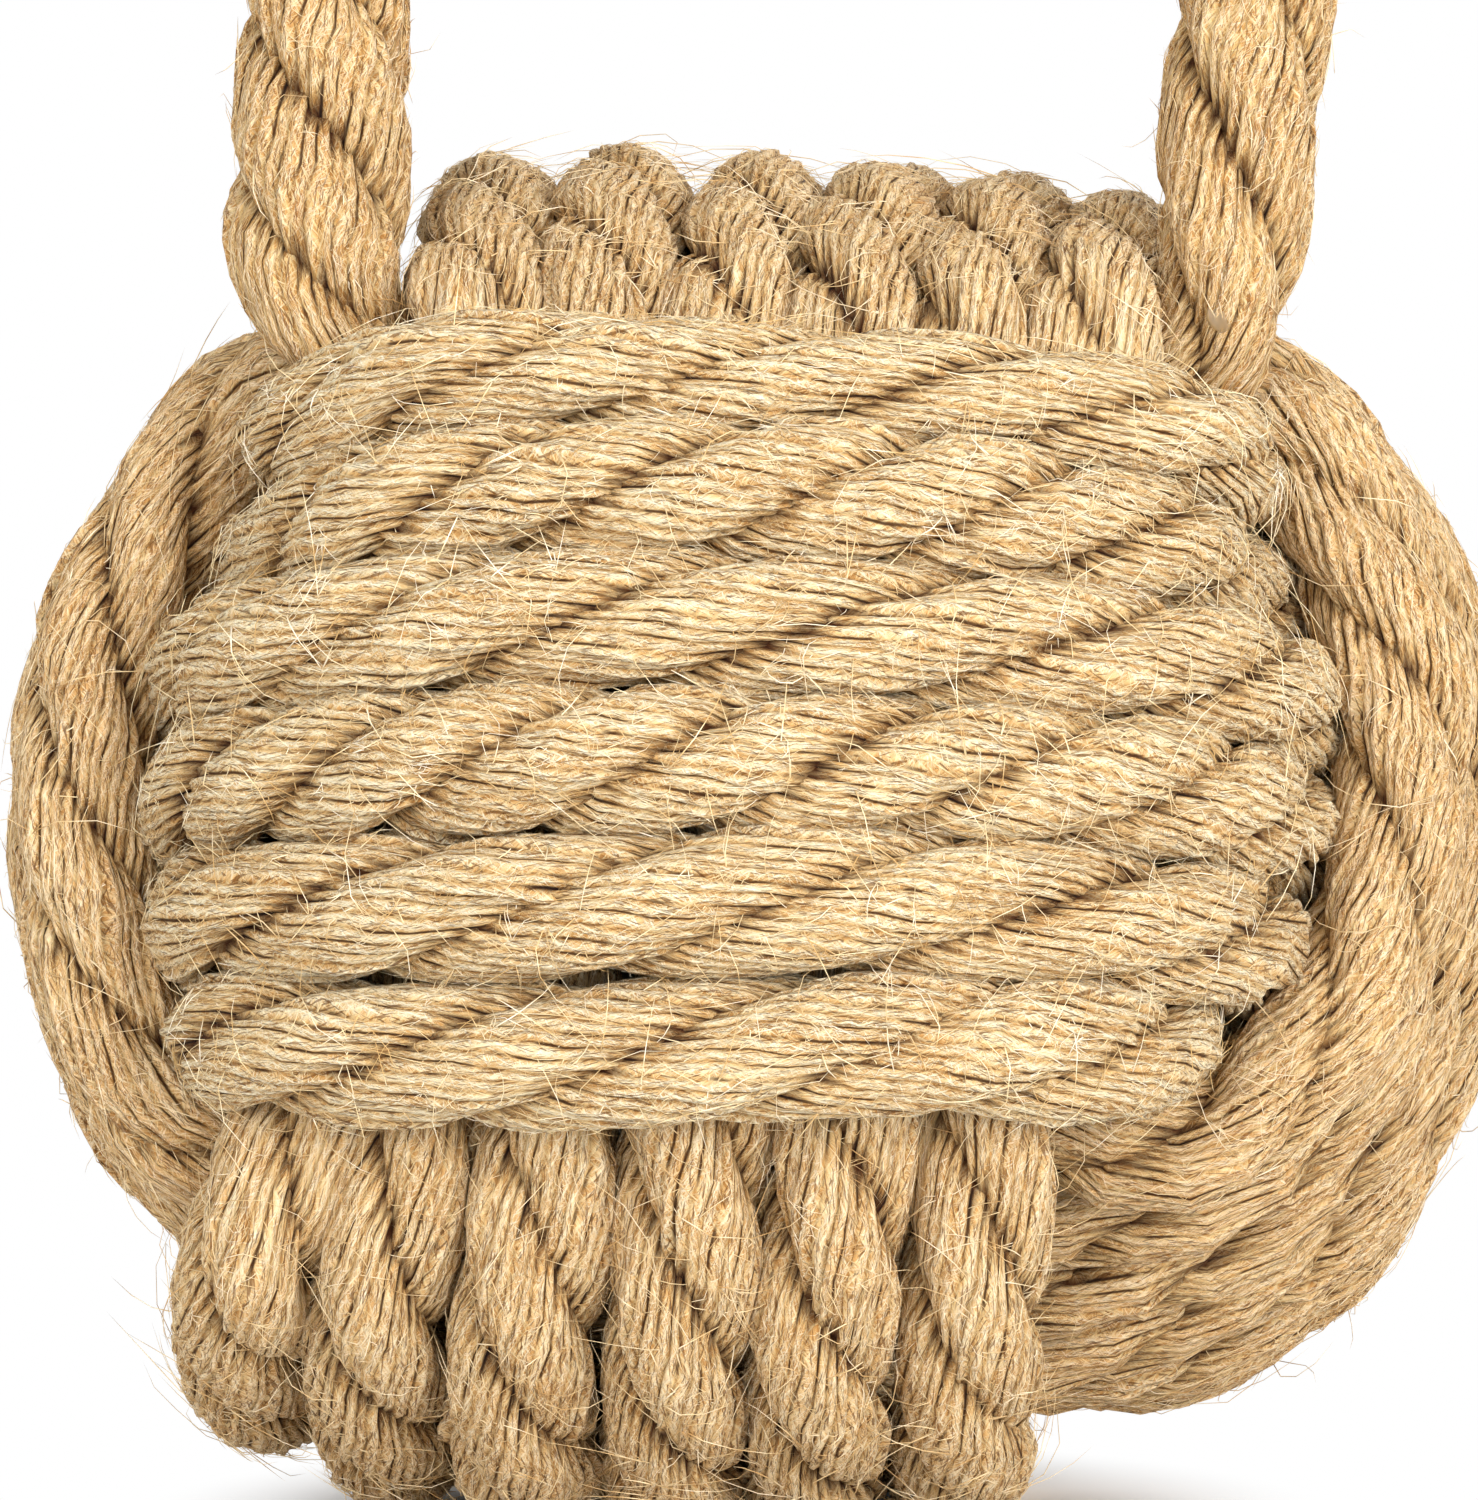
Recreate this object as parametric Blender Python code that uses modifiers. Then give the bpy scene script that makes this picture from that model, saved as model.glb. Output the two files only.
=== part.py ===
"""Rope knot doorstop: a monkey's fist of jute rope, tied round a bag of sand, with a rope handle.

Metres, +Z up. The floor is z = 0 and the object stands over the origin. The knot has axes of
its own, which lean back from the floor's: its X runs to the right, its Y away from the front
and its Z up through the crown. Routes are worked out on the knot's axes, from its middle.
"""

import math

import bmesh
import bpy
import numpy as np

# Ropes, measured over the rope pressed round, without its loose fibres.
ROPE_DIAMETER = 0.0115
HANDLE_DIAMETER = 0.0165
TAIL_DIAMETER = 0.0110
TWINE_DIAMETER = 0.0014

# How the knot is tied. The gaps are those between round ropes that just don't press in.
TURNS = 6
TURN_GAP = 0.0011
LAYER_GAP = 0.0020
BEND_IN_ROPES = 2.0
CORNER_ROOM = 0.0012
PRESSED_FLAT = 0.0075
FACE_BOW = 0.0040
CROWN_ROLL = 0.070
BASE_SPREAD = 0.03
LEAN_BACK = math.radians(10.0)
FLAT_IN_ROPES = 0.1

# The bag of sand.
BAG_ROOM = 0.0015
BAG_WALL = 0.0010
NECK_RADIUS = 0.0060
NECK_LENGTH = 0.0110
TIE_DIAMETER = 0.0020

# The handle. It pivots in the two corner holes, above the side turns and in front of them.
PIVOT_RISE = 0.0140
PIVOT_REACH = 0.0145
LEG_HEIGHT = 0.0510
ARCH_HEIGHT = 0.0500
HANDLE_SPLAY = 0.0035
LEG_GAP = 0.0008
RUN_GAP = 0.0031
TAIL_TURNS_IN = 0.0040
TAIL_TURNS_FORWARD = 0.0020
TAIL_TURNS_UP = 0.0045
TAIL_TURN_IN_TAILS = 1.4
SEIZING_TURNS = 6
SEIZING_PITCH = 0.0021

GLUE_SIZE = 0.0042
GLUE_THICKNESS = 0.0016
GLUE_TURNED = math.radians(35.0)
CLEARANCE = 0.0004

ROPE_SIDES = 6
ROUND_SIDES = 12
ARC_POINTS = 5

# Sizes that follow from the ones above.
PITCH = ROPE_DIAMETER + TURN_GAP
EDGE_ROW = (TURNS - 1) / 2 * PITCH
BEND_RADIUS = BEND_IN_ROPES * ROPE_DIAMETER
CAVITY_WIDTH = EDGE_ROW + BEND_RADIUS - ROPE_DIAMETER / 2 + CORNER_ROOM
CAVITY_HEIGHT = CAVITY_WIDTH - PRESSED_FLAT
STEP_REACH = CAVITY_WIDTH - BEND_RADIUS
OUTER_WIDTH = CAVITY_WIDTH + 2 * ROPE_DIAMETER + LAYER_GAP
PIVOT_HEIGHT = CAVITY_HEIGHT + PIVOT_RISE
PIVOT_FORWARD = EDGE_ROW + PIVOT_REACH
SEIZING_RADIUS = (TAIL_DIAMETER + TWINE_DIAMETER) / 2 + CLEARANCE


def clear_scene():
    for old in list(bpy.data.objects):
        bpy.data.objects.remove(old)


def collection(name):
    made = bpy.data.collections.new(name)
    bpy.context.scene.collection.children.link(made)
    return made


def material(name, colour, roughness, alpha=1.0):
    made = bpy.data.materials.new(name)
    made.use_nodes = True
    shader = made.node_tree.nodes["Principled BSDF"]
    shader.inputs["Base Color"].default_value = (*colour, 1.0)
    shader.inputs["Roughness"].default_value = roughness
    shader.inputs["Metallic"].default_value = 0.0
    shader.inputs["Alpha"].default_value = alpha
    return made


def add_object(name, data, finish, place, parent):
    """A new object of this data, or an empty where there is none."""
    made = bpy.data.objects.new(name, data)
    if finish:
        data.materials.append(finish)
    place.objects.link(made)
    made.parent = parent
    return made


def adopt(made, name, finish, place, parent):
    """Names, finishes and files a primitive that was just added to the scene."""
    made.name = name
    if finish:
        made.data.materials.append(finish)
    made.users_collection[0].objects.unlink(made)
    place.objects.link(made)
    made.parent = parent
    return made


def tube(name, points, diameter, sides, finish, place, parent, shares=None):
    """A tube of this many sides along the points, with filled ends.

    The shares, where given, are those of the diameter at each point.
    """
    curve = bpy.data.curves.new(name, "CURVE")
    curve.dimensions = "3D"
    curve.bevel_depth = diameter / 2
    curve.bevel_resolution = (sides - 4) // 2
    curve.use_fill_caps = True
    spline = curve.splines.new("POLY")
    spline.points.add(len(points) - 1)
    for index, point in enumerate(points):
        spline.points[index].co = (*point, 1.0)
        if shares:
            spline.points[index].radius = shares[index]
    return add_object(name, curve, finish, place, parent)


def mesh_in_place_of_curve(made):
    """The same object as a mesh whose end caps are welded on."""
    bpy.context.view_layer.update()
    graph = bpy.context.evaluated_depsgraph_get()
    mesh = bpy.data.meshes.new_from_object(made.evaluated_get(graph))
    solid = bmesh.new()
    solid.from_mesh(mesh)
    bmesh.ops.remove_doubles(solid, verts=solid.verts, dist=1e-6)
    bmesh.ops.recalc_face_normals(solid, faces=solid.faces)
    solid.to_mesh(mesh)
    solid.free()
    name, parent, place, curve = made.name, made.parent, made.users_collection[0], made.data
    bpy.data.objects.remove(made)
    bpy.data.curves.remove(curve)
    return add_object(name, mesh, None, place, parent)


def smooth(value):
    """0 below 0, 1 above 1, and an S curve between them."""
    value = min(max(value, 0.0), 1.0)
    return value * value * (3 - 2 * value)


def gaps_between(first, second):
    """The distance between each straight run of one line and each straight run of another."""
    a, b = np.array(first)[:, None], np.array(second)[None]
    u, v, w = a[1:] - a[:-1], b[:, 1:] - b[:, :-1], a[:-1] - b[:, :-1]
    uu, uv, vv = (u * u).sum(-1), (u * v).sum(-1), (v * v).sum(-1)
    uw, vw = (u * w).sum(-1), (v * w).sum(-1)
    s = np.clip((uv * vw - vv * uw) / np.maximum(uu * vv - uv * uv, 1e-18), 0, 1)
    t = np.clip((uv * s + vw) / vv, 0, 1)
    s = np.clip((uv * t - uw) / uu, 0, 1)
    return np.linalg.norm(w + s[..., None] * u - t[..., None] * v, axis=-1)


def gap_to_itself(route, diameter, near=4):
    """The least gap between runs of one tube that are more than a few runs apart along it."""
    gaps = gaps_between(route, route)
    index = np.arange(len(route) - 1)
    gaps[abs(index[:, None] - index[None]) <= near] = np.inf
    return gaps.min() - diameter


# The three sets of turns. In each, the rope lies over the next set on two sides of the knot
# and under the set before it on two.


def turn_outline(over, under):
    """One turn as 24 (over, under) pairs, a rectangle with round corners.

    It starts just past the middle of a hidden side and ends just short of it, which leaves
    room there for the step to the next turn. The sides that show have a point in the middle.
    """
    spread = math.radians(90 / (ARC_POINTS - 1))
    bend = BEND_RADIUS / math.sqrt(math.cos(spread / 2))
    outline = [(-STEP_REACH, under)]
    for over_side, under_side, start in ((-1, 1, 90), (-1, -1, 180), (1, -1, 270), (1, 1, 0)):
        for step in range(ARC_POINTS):
            angle = math.radians(start) + step * spread
            over_by = over_side * (over - BEND_RADIUS) + bend * math.cos(angle)
            under_by = under_side * (under - BEND_RADIUS) + bend * math.sin(angle)
            outline.append((over_by, under_by))
        if over_side != under_side:
            outline.append((over_side * over, 0.0))
    outline.append((STEP_REACH, under))
    return outline


def bowed(value, other, row):
    """The value drawn in where its point is far from the middle of the face, so that it bows."""
    reach = BEND_RADIUS + 1.25 * PITCH
    widest = OUTER_WIDTH - ROPE_DIAMETER / 2
    far = (other / widest) ** 2 + (row / widest) ** 2
    depth = FACE_BOW * far * smooth((abs(value) - reach) / ROPE_DIAMETER)
    return value - math.copysign(depth, value)


def set_route(cavity_over, cavity_under, over_axis, under_axis, placed=None):
    """The centre line of one set: its turns side by side, as one unbroken run."""
    under = cavity_under + ROPE_DIAMETER / 2
    over = cavity_over + 1.5 * ROPE_DIAMETER + LAYER_GAP
    across = np.cross(over_axis, under_axis)
    route = []
    for turn in range(TURNS):
        row = turn * PITCH - EDGE_ROW
        for over_by, under_by in turn_outline(over, under):
            point = bowed(over_by, under_by, row) * np.array(over_axis)
            point = point + bowed(under_by, over_by, row) * np.array(under_axis) + row * across
            route.append(placed(point) if placed else point)
    return [tuple(float(value) for value in point) for point in route]


def crown_placed(point):
    """The crown set rolls to the right at the top. Where it stands it spreads and lies level.

    The knot leans back, so level means that the turns hang lower at the front than at the back.
    """
    x, y, z = point
    base = smooth(-z / CAVITY_HEIGHT)
    hang = math.tan(LEAN_BACK) * max(STEP_REACH - y, 0.0)
    return x * (1 + BASE_SPREAD * base) + CROWN_ROLL * z, y, z - hang * base


# The handle. Its legs stand beside the crown turns, and its two tails run under them.


def leg_places():
    """How far left and right the legs pivot, clear of the crown turns between them."""
    reach = EDGE_ROW + (ROPE_DIAMETER + HANDLE_DIAMETER) / 2 + LEG_GAP
    shift = CROWN_ROLL * PIVOT_HEIGHT
    return shift - reach, shift + reach


def handle_route():
    """The centre line from the pivot: up the left leg, over in half an ellipse, down the right."""
    left, right = leg_places()
    right_shoulder = right + HANDLE_SPLAY
    middle, half = (left + right_shoulder) / 2, (right_shoulder - left) / 2
    flat = [(left, share * LEG_HEIGHT) for share in (0, 1 / 3, 2 / 3)]
    for step in range(17):
        angle = math.pi * (1 - step / 16)
        rise = LEG_HEIGHT + ARCH_HEIGHT * math.sin(angle)
        flat.append((middle + half * math.cos(angle), rise))
    for share in (2 / 3, 1 / 3, 0):
        flat.append((right + share * HANDLE_SPLAY, share * LEG_HEIGHT))
    return [(x, 0.0, z) for x, z in flat]


def round_nosed(route, radius):
    """The route with a round nose at each end, and the share of the radius at each point."""
    noses = []
    for end, inner in ((route[0], route[1]), (route[-1], route[-2])):
        outward = np.array(end) - np.array(inner)
        outward /= np.linalg.norm(outward)
        angles = [math.radians(degrees) for degrees in (35, 62, 84)]
        noses.append([(tuple(end + radius * math.sin(a) * outward), math.cos(a)) for a in angles])
    points = [point for point, _ in reversed(noses[0])] + list(route)
    points += [point for point, _ in noses[1]]
    shares = [share for _, share in reversed(noses[0])] + [1.0] * len(route)
    shares += [share for _, share in noses[1]]
    return points, shares


def run_place():
    """Where the tails run under the crown turns, as (y, z), clear of the side turns by the gap."""
    reach = (ROPE_DIAMETER + TAIL_DIAMETER) / 2 + RUN_GAP
    lowest = CAVITY_HEIGHT + ROPE_DIAMETER / 2 - 0.6 * FACE_BOW
    steep = math.radians(60)
    return -(EDGE_ROW + reach * math.cos(steep)), lowest - reach * math.sin(steep)


def tail_route(leg_x):
    """From below the leg, in through the corner hole, and along under the crown to its middle.

    The tail is thinner than the leg and starts half way from its middle to its inner side. The
    first stretch is a curve whose control point lies in the corner hole.
    """
    sign = math.copysign(1, leg_x)
    run_y, run_z = run_place()
    x = leg_x - sign * (HANDLE_DIAMETER - TAIL_DIAMETER) / 4
    top = PIVOT_HEIGHT - HANDLE_DIAMETER / 2 - CLEARANCE
    below = (x, -PIVOT_FORWARD, top - TAIL_DIAMETER / 4)
    corner = (x - sign * TAIL_TURNS_IN, run_y - TAIL_TURNS_FORWARD, run_z + TAIL_TURNS_UP)
    inner = (x - sign * TAIL_TURN_IN_TAILS * TAIL_DIAMETER, run_y, run_z)
    route = [(x, -PIVOT_FORWARD, top)]
    for step in range(7):
        share = step / 6
        weights = ((1 - share) ** 2, 2 * share * (1 - share), share**2)
        route.append(tuple(float(np.dot(weights, column)) for column in zip(below, corner, inner)))
    for share in (1 / 3, 2 / 3):
        route.append((inner[0] * (1 - share), run_y, run_z))
    route.append((sign * CLEARANCE, run_y, run_z))
    return route


def seizing_route():
    """A helix of twine round the meeting ends of the tails."""
    run_y, run_z = run_place()
    route = []
    for step in range(24 * SEIZING_TURNS + 1):
        angle = math.tau * step / 24
        x = SEIZING_PITCH * (step / 24 - SEIZING_TURNS / 2)
        y = run_y + SEIZING_RADIUS * math.cos(angle)
        route.append((x, y, run_z + SEIZING_RADIUS * math.sin(angle)))
    return route


def bag_radius():
    """The bag fills the cavity, clear of the seizing that lies in one corner of it."""
    seizing_reach = math.hypot(*run_place()) - SEIZING_RADIUS - TWINE_DIAMETER / 2
    return min(CAVITY_HEIGHT, seizing_reach) - BAG_ROOM


def add_bag(place, knot, cloth, sand, twine):
    """A turned bag whose neck points at the lower back left corner hole, its sand and its tie."""
    radius = bag_radius()
    steep = math.asin(NECK_RADIUS / radius)
    points = [(NECK_RADIUS, radius * math.cos(steep) + NECK_LENGTH)]
    for step in range(20):
        angle = steep + (math.pi - steep) * step / 20
        points.append((radius * math.sin(angle), radius * math.cos(angle)))
    points.append((0.0, -radius))
    mesh = bpy.data.meshes.new("sand_bag")
    profile = bmesh.new()
    corners = [profile.verts.new((r, 0.0, z)) for r, z in points]
    for above, below in zip(corners, corners[1:]):
        profile.edges.new((above, below))
    profile.to_mesh(mesh)
    profile.free()
    bag = add_object("sand_bag", mesh, cloth, place, knot)
    turn = bag.modifiers.new("turn", "SCREW")
    turn.steps = turn.render_steps = 32
    turn.use_merge_vertices = True
    turn.merge_threshold = 0.00005
    wall = bag.modifiers.new("wall", "SOLIDIFY")
    wall.thickness = BAG_WALL
    wall.offset = -1

    filling_radius = radius - BAG_WALL - CLEARANCE
    bpy.ops.mesh.primitive_uv_sphere_add(segments=32, ring_count=16, radius=filling_radius)
    adopt(bpy.context.object, "sand_filling", sand, place, knot)
    tie_radius = NECK_RADIUS + TIE_DIAMETER / 2 + CLEARANCE
    bpy.ops.mesh.primitive_torus_add(
        major_segments=32, minor_segments=8, major_radius=tie_radius, minor_radius=TIE_DIAMETER / 2
    )
    tie = adopt(bpy.context.object, "bag_tie", twine, place, knot)
    height = radius * math.cos(steep) + NECK_LENGTH / 2
    tie.location = [height * side / math.sqrt(3) for side in (-1, 1, -1)]
    for made in (bag, tie):
        made.rotation_euler = (math.acos(-1 / math.sqrt(3)), 0, math.radians(225))


def add_glue(place, knot, glue, leg_x):
    """A small flat bead of clear glue at the corner hole, on the front of the right tail."""
    bpy.ops.mesh.primitive_uv_sphere_add(segments=16, ring_count=8, radius=0.5)
    bead = adopt(bpy.context.object, "glue_bead", glue, place, knot)
    x, y, z = tail_route(leg_x)[0]
    out = TAIL_DIAMETER / 2 + GLUE_THICKNESS / 2 + CLEARANCE
    bead.scale = (GLUE_SIZE, GLUE_THICKNESS, GLUE_SIZE)
    bead.rotation_euler = (0, 0, -GLUE_TURNED)
    x, y = x - out * math.sin(GLUE_TURNED), y - out * math.cos(GLUE_TURNED)
    bead.location = (x, y, z - GLUE_SIZE / 2)


def stand_on_floor(crown, knot, cutters):
    """Sets the knot on the floor and cuts the crown turns flat where they meet it."""
    bpy.context.view_layer.update()
    lowest = min((crown.matrix_world @ corner.co).z for corner in crown.data.vertices)
    knot.location.z = -lowest - FLAT_IN_ROPES * ROPE_DIAMETER
    side = 4 * OUTER_WIDTH
    bpy.ops.mesh.primitive_cube_add(size=side, location=(0, 0, -side / 2))
    floor = adopt(bpy.context.object, "floor_cutter", None, cutters, None)
    floor.hide_render = True
    floor.display_type = "WIRE"
    cut = crown.modifiers.new("flat_base", "BOOLEAN")
    cut.object = floor
    cut.operation = "DIFFERENCE"


def main():
    clear_scene()
    parts = collection("rope_knot_doorstop")
    cutters = collection("cutters")
    jute = material("jute_rope", (0.62, 0.42, 0.21), 0.9)
    handle_jute = material("thick_jute_rope", (0.65, 0.45, 0.23), 0.9)
    twine = material("jute_twine", (0.55, 0.36, 0.18), 0.9)
    cloth = material("unbleached_cotton", (0.74, 0.68, 0.56), 0.95)
    sand = material("dry_sand", (0.66, 0.55, 0.39), 1.0)
    glue = material("hot_melt_glue", (0.90, 0.88, 0.82), 0.2, alpha=0.5)

    knot = add_object("knot_axes", None, None, parts, None)
    knot.rotation_euler = (-LEAN_BACK, 0, 0)
    pivot = add_object("handle_pivot", None, None, parts, knot)
    pivot.location = (0, -PIVOT_FORWARD, PIVOT_HEIGHT)

    wide, high = CAVITY_WIDTH, CAVITY_HEIGHT
    windings = {
        "winding_front": set_route(wide, wide, (0, -1, 0), (1, 0, 0)),
        "winding_crown": set_route(high, wide, (0, 0, 1), (0, 1, 0), crown_placed),
        "winding_side": set_route(wide, high, (1, 0, 0), (0, 0, -1)),
    }
    made = {}
    for name, route in windings.items():
        print(f"{name}: least gap to itself {1000 * gap_to_itself(route, ROPE_DIAMETER):.2f} mm")
        made[name] = tube(name, route, ROPE_DIAMETER, ROPE_SIDES, jute, parts, knot)
    crown = mesh_in_place_of_curve(made["winding_crown"])
    stand_on_floor(crown, knot, cutters)

    seizing = seizing_route()
    gap = gap_to_itself(seizing, TWINE_DIAMETER)
    print(f"handle_seizing: least gap to itself {1000 * gap:.2f} mm")
    tube("handle_seizing", seizing, TWINE_DIAMETER, ROPE_SIDES, twine, parts, knot)
    left, right = leg_places()
    for name, leg_x in (("handle_tail_left", left), ("handle_tail_right", right)):
        tube(name, tail_route(leg_x), TAIL_DIAMETER, ROUND_SIDES, handle_jute, parts, knot)
    points, shares = round_nosed(handle_route(), HANDLE_DIAMETER / 2)
    tube("handle_rope", points, HANDLE_DIAMETER, ROUND_SIDES, handle_jute, parts, pivot, shares)
    add_glue(parts, knot, glue, right)
    add_bag(parts, knot, cloth, sand, twine)


main()
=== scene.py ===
"""Looks of the rope knot doorstop: a monkey's fist of jute rope, with a rope carrying handle.

Metres, +Z up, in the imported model's frame. The sections follow the object as it is put together.
"""

import math

import bpy
import numpy as np
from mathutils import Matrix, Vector


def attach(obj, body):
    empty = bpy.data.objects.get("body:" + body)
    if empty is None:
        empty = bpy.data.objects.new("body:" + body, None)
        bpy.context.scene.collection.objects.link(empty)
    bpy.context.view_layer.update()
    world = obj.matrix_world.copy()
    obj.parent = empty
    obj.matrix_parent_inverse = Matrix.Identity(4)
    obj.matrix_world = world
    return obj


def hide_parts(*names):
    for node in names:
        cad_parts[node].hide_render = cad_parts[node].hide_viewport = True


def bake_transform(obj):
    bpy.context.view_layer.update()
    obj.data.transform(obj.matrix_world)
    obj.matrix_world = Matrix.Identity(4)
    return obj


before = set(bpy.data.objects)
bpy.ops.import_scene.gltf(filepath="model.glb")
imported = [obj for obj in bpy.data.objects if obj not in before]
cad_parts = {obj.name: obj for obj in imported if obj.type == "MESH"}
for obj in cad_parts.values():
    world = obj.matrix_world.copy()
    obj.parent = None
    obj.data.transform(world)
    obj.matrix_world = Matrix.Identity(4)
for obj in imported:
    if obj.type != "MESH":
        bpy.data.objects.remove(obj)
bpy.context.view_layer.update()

# The camera stands level in front of the knot, a little above its middle.
CAMERA_DISTANCE = 0.600
CAMERA_HEIGHT = 0.078

camera_data = bpy.data.cameras.new("camera")
camera_data.lens = 140
camera_data.sensor_width = 36
camera_data.clip_end = 20
camera = bpy.data.objects.new("camera", camera_data)
camera.location = (0, -CAMERA_DISTANCE, CAMERA_HEIGHT)
camera.rotation_euler = (math.radians(90), 0, 0)
bpy.context.scene.collection.objects.link(camera)
bpy.context.scene.camera = camera

# The course of the knot's rope. One length of 12 mm jute rope is wound in three sets of six
# turns. Each set lies over the next one on two sides of the ball and dives under the set before
# it on the other two. The whole knot leans back by ten degrees and stands on its crown turns.
LEAN_BACK = math.radians(10.0)
KNOT_MIDDLE = np.array([0.0, 0.0, 0.0700])
ROPE_WIDTH = 0.0125
PITCH = 0.0126
TURNS = 6
TURN_LENGTH = 0.42
POINT_SPACING = 0.0030

# The share of a turn in which the rope steps over to its next row, how much closer the rows
# stand where they are hidden, and the half angle over which a turn shows on the front.
STEP_SHARE = 0.15
HIDDEN_CLOSER = 0.10
FACE_HALF_ANGLE = 56

# The cosine of a turn's angle round its set tells how much it shows. The measured front rows
# begin to count at the first value, and count wholly the second value above it. The fine rings
# and the fibres have values of their own, and come on both sides of the ball.
MEASURED_FROM = (0.45, 0.25)
SHOWN_FROM = (0.30, 0.2)


def smooth(value):
    """0 below 0, 1 above 1, and an S curve between them."""
    value = np.clip(value, 0.0, 1.0)
    return value * value * (3 - 2 * value)


def passed(value, start, over):
    """0 up to a start, 1 once this much over it, and an S curve between them."""
    return smooth((value - start) / over)


def unit(vectors):
    """Each vector divided by its length."""
    return vectors / np.maximum(np.linalg.norm(vectors, axis=-1, keepdims=True), 1e-12)


def around(degrees, stations, values):
    """A periodic curve through values at these degrees, with a soft S between two of them."""
    stations = np.array(stations, float)
    values = np.array(values, float)
    turned = np.mod(degrees - stations[0], 360.0)
    spans = np.append(stations - stations[0], 360.0)
    index = np.clip(np.searchsorted(spans, turned, side="right") - 1, 0, len(stations) - 1)
    share = (turned - spans[index]) / (spans[index + 1] - spans[index])
    share = 0.5 * share + 0.5 * smooth(share)
    closed = np.concatenate([values, values[:1]])
    return closed[index] * (1 - share) + closed[index + 1] * share


def to_floor(points):
    """The knot's own axes turned to the floor's: a turn about X by the lean, and then a rise."""
    x, y, z = points[..., 0], points[..., 1], points[..., 2]
    c, s = math.cos(LEAN_BACK), math.sin(LEAN_BACK)
    return np.stack([x, y * c + z * s, z * c - y * s], -1) + KNOT_MIDDLE


# Distances from the knot's middle to the rope's centre line, in millimetres, at these degrees
# round each set. Where a set shows it lies wide, and where it is hidden it lies narrow. The
# third line is how much of a ball's fall a set takes towards its outer rows, and the fourth is
# how far the front rows are drawn in against the back ones.
FRONT_REACH = (
    (0, 38, 66, 90, 114, 142, 180, 218, 246, 270, 294, 322),
    (69.5, 69.0, 60.0, 56, 59.0, 68, 69.5, 68, 59.0, 56, 64.0, 69.5),
    (1, 1, 1, 1, 1, 1, 1, 1, 1, 1, 1.6, 1.1),
    (0, 0, 0, 0, 0, 0, 0, 0, 0, 0, 10, 3),
)
CROWN_REACH = (
    (0, 36, 50, 68, 90, 120, 142, 180, 218, 240, 270, 300, 326),
    (60.6, 64.2, 64.4, 58.0, 56, 60, 68.5, 69.5, 68.5, 59, 56, 58.5, 61.6),
    (0.45, 0.55, 0.7, 0.90, 1, 0.9, 0.64, 0.62, 0.66, 0.9, 1, 0.90, 0.60),
    (9, 9, 5, 0, 0, 0, 0, 0, 0, 0, 0, 0, 8),
)
SIDE_REACH = (
    (0, 30, 45, 66, 90, 114, 135, 150, 180, 203, 217, 245, 270, 295, 313, 331),
    (74.6, 75.4, 69.2, 56.5, 48.0, 54, 63.0, 65.4, 67.4, 66.4, 65.0, 54, 49.5, 56.5, 64.0, 73.5),
    (1, 1, 0.9, 0.7, 0.5, 0.7, 0.9, 1, 1, 1, 0.9, 0.7, 0.6, 0.8, 0.8, 0.8),
    (12, 16, 8, 0, 0, 0, 0, 0, 0, 0, 0, 0, 10, 45, 60, 48),
)


def wound_set(over, under, reach, rows_across, start_degrees):
    """One set's centre line: a flat loop in polar form, carried across by a pitch each turn.

    At turn k the angle is the start plus k whole turns. The row number steps up by one, on an
    S curve, while the rope is hidden at the start angle. Rows away from the middle are drawn in
    so that all of them lie on one ball.
    """
    count = int(TURNS * TURN_LENGTH / POINT_SPACING)
    k = np.linspace(0.0, TURNS, count)
    row = smooth((k[:, None] - np.arange(1, TURNS)) / STEP_SHARE + 0.5).sum(1)
    degrees = start_degrees + 360.0 * k
    across_by = rows_across(degrees, row)
    wide = around(degrees, reach[0], reach[1]) / 1000
    fall = around(degrees, reach[0], reach[2])
    drawn_in = around(degrees, reach[0], reach[3]) / 1000
    radius = np.sqrt(wide**2 - fall * across_by**2 - drawn_in * across_by)
    angle = np.radians(degrees)
    across = np.cross(over, under)
    points = radius[:, None] * (np.cos(angle)[:, None] * over + np.sin(angle)[:, None] * under)
    return points + across_by[:, None] * across, degrees, row


def drawn_close(degrees):
    """The share of their pitch at which rows stand: all of it in front, and less at the sides."""
    return 1 - HIDDEN_CLOSER * np.sin(np.radians(degrees)) ** 2


def between_rows(table, row):
    """A value read between the six rows of a table, one column for each point."""
    low = np.clip(np.floor(row).astype(int), 0, TURNS - 2)
    share = row - low
    index = np.arange(len(row))
    return table[low, index] * (1 - share) + table[low + 1, index] * share


# How high the middle of each front row lies above the floor, top row first, in millimetres, at
# these distances right of the middle. The upper rows slope down to the right.
ROW_STATIONS = (-52, -40, -25, -10, 5, 20, 35, 50)
ROW_HEIGHTS = (
    (109.0, 112.1, 113.6, 112.4, 110.7, 109.1, 106.9, 104.2),
    (98.6, 102.4, 103.5, 102.9, 101.2, 99.8, 98.5, 97.2),
    (87.7, 89.8, 90.3, 90.2, 89.7, 89.0, 87.8, 86.0),
    (76.0, 77.0, 77.3, 77.0, 77.1, 77.0, 75.8, 73.0),
    (62.7, 63.2, 63.7, 64.2, 64.9, 65.0, 63.3, 60.0),
    (49.7, 49.6, 50.1, 50.8, 51.4, 51.8, 50.8, 49.0),
)


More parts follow.
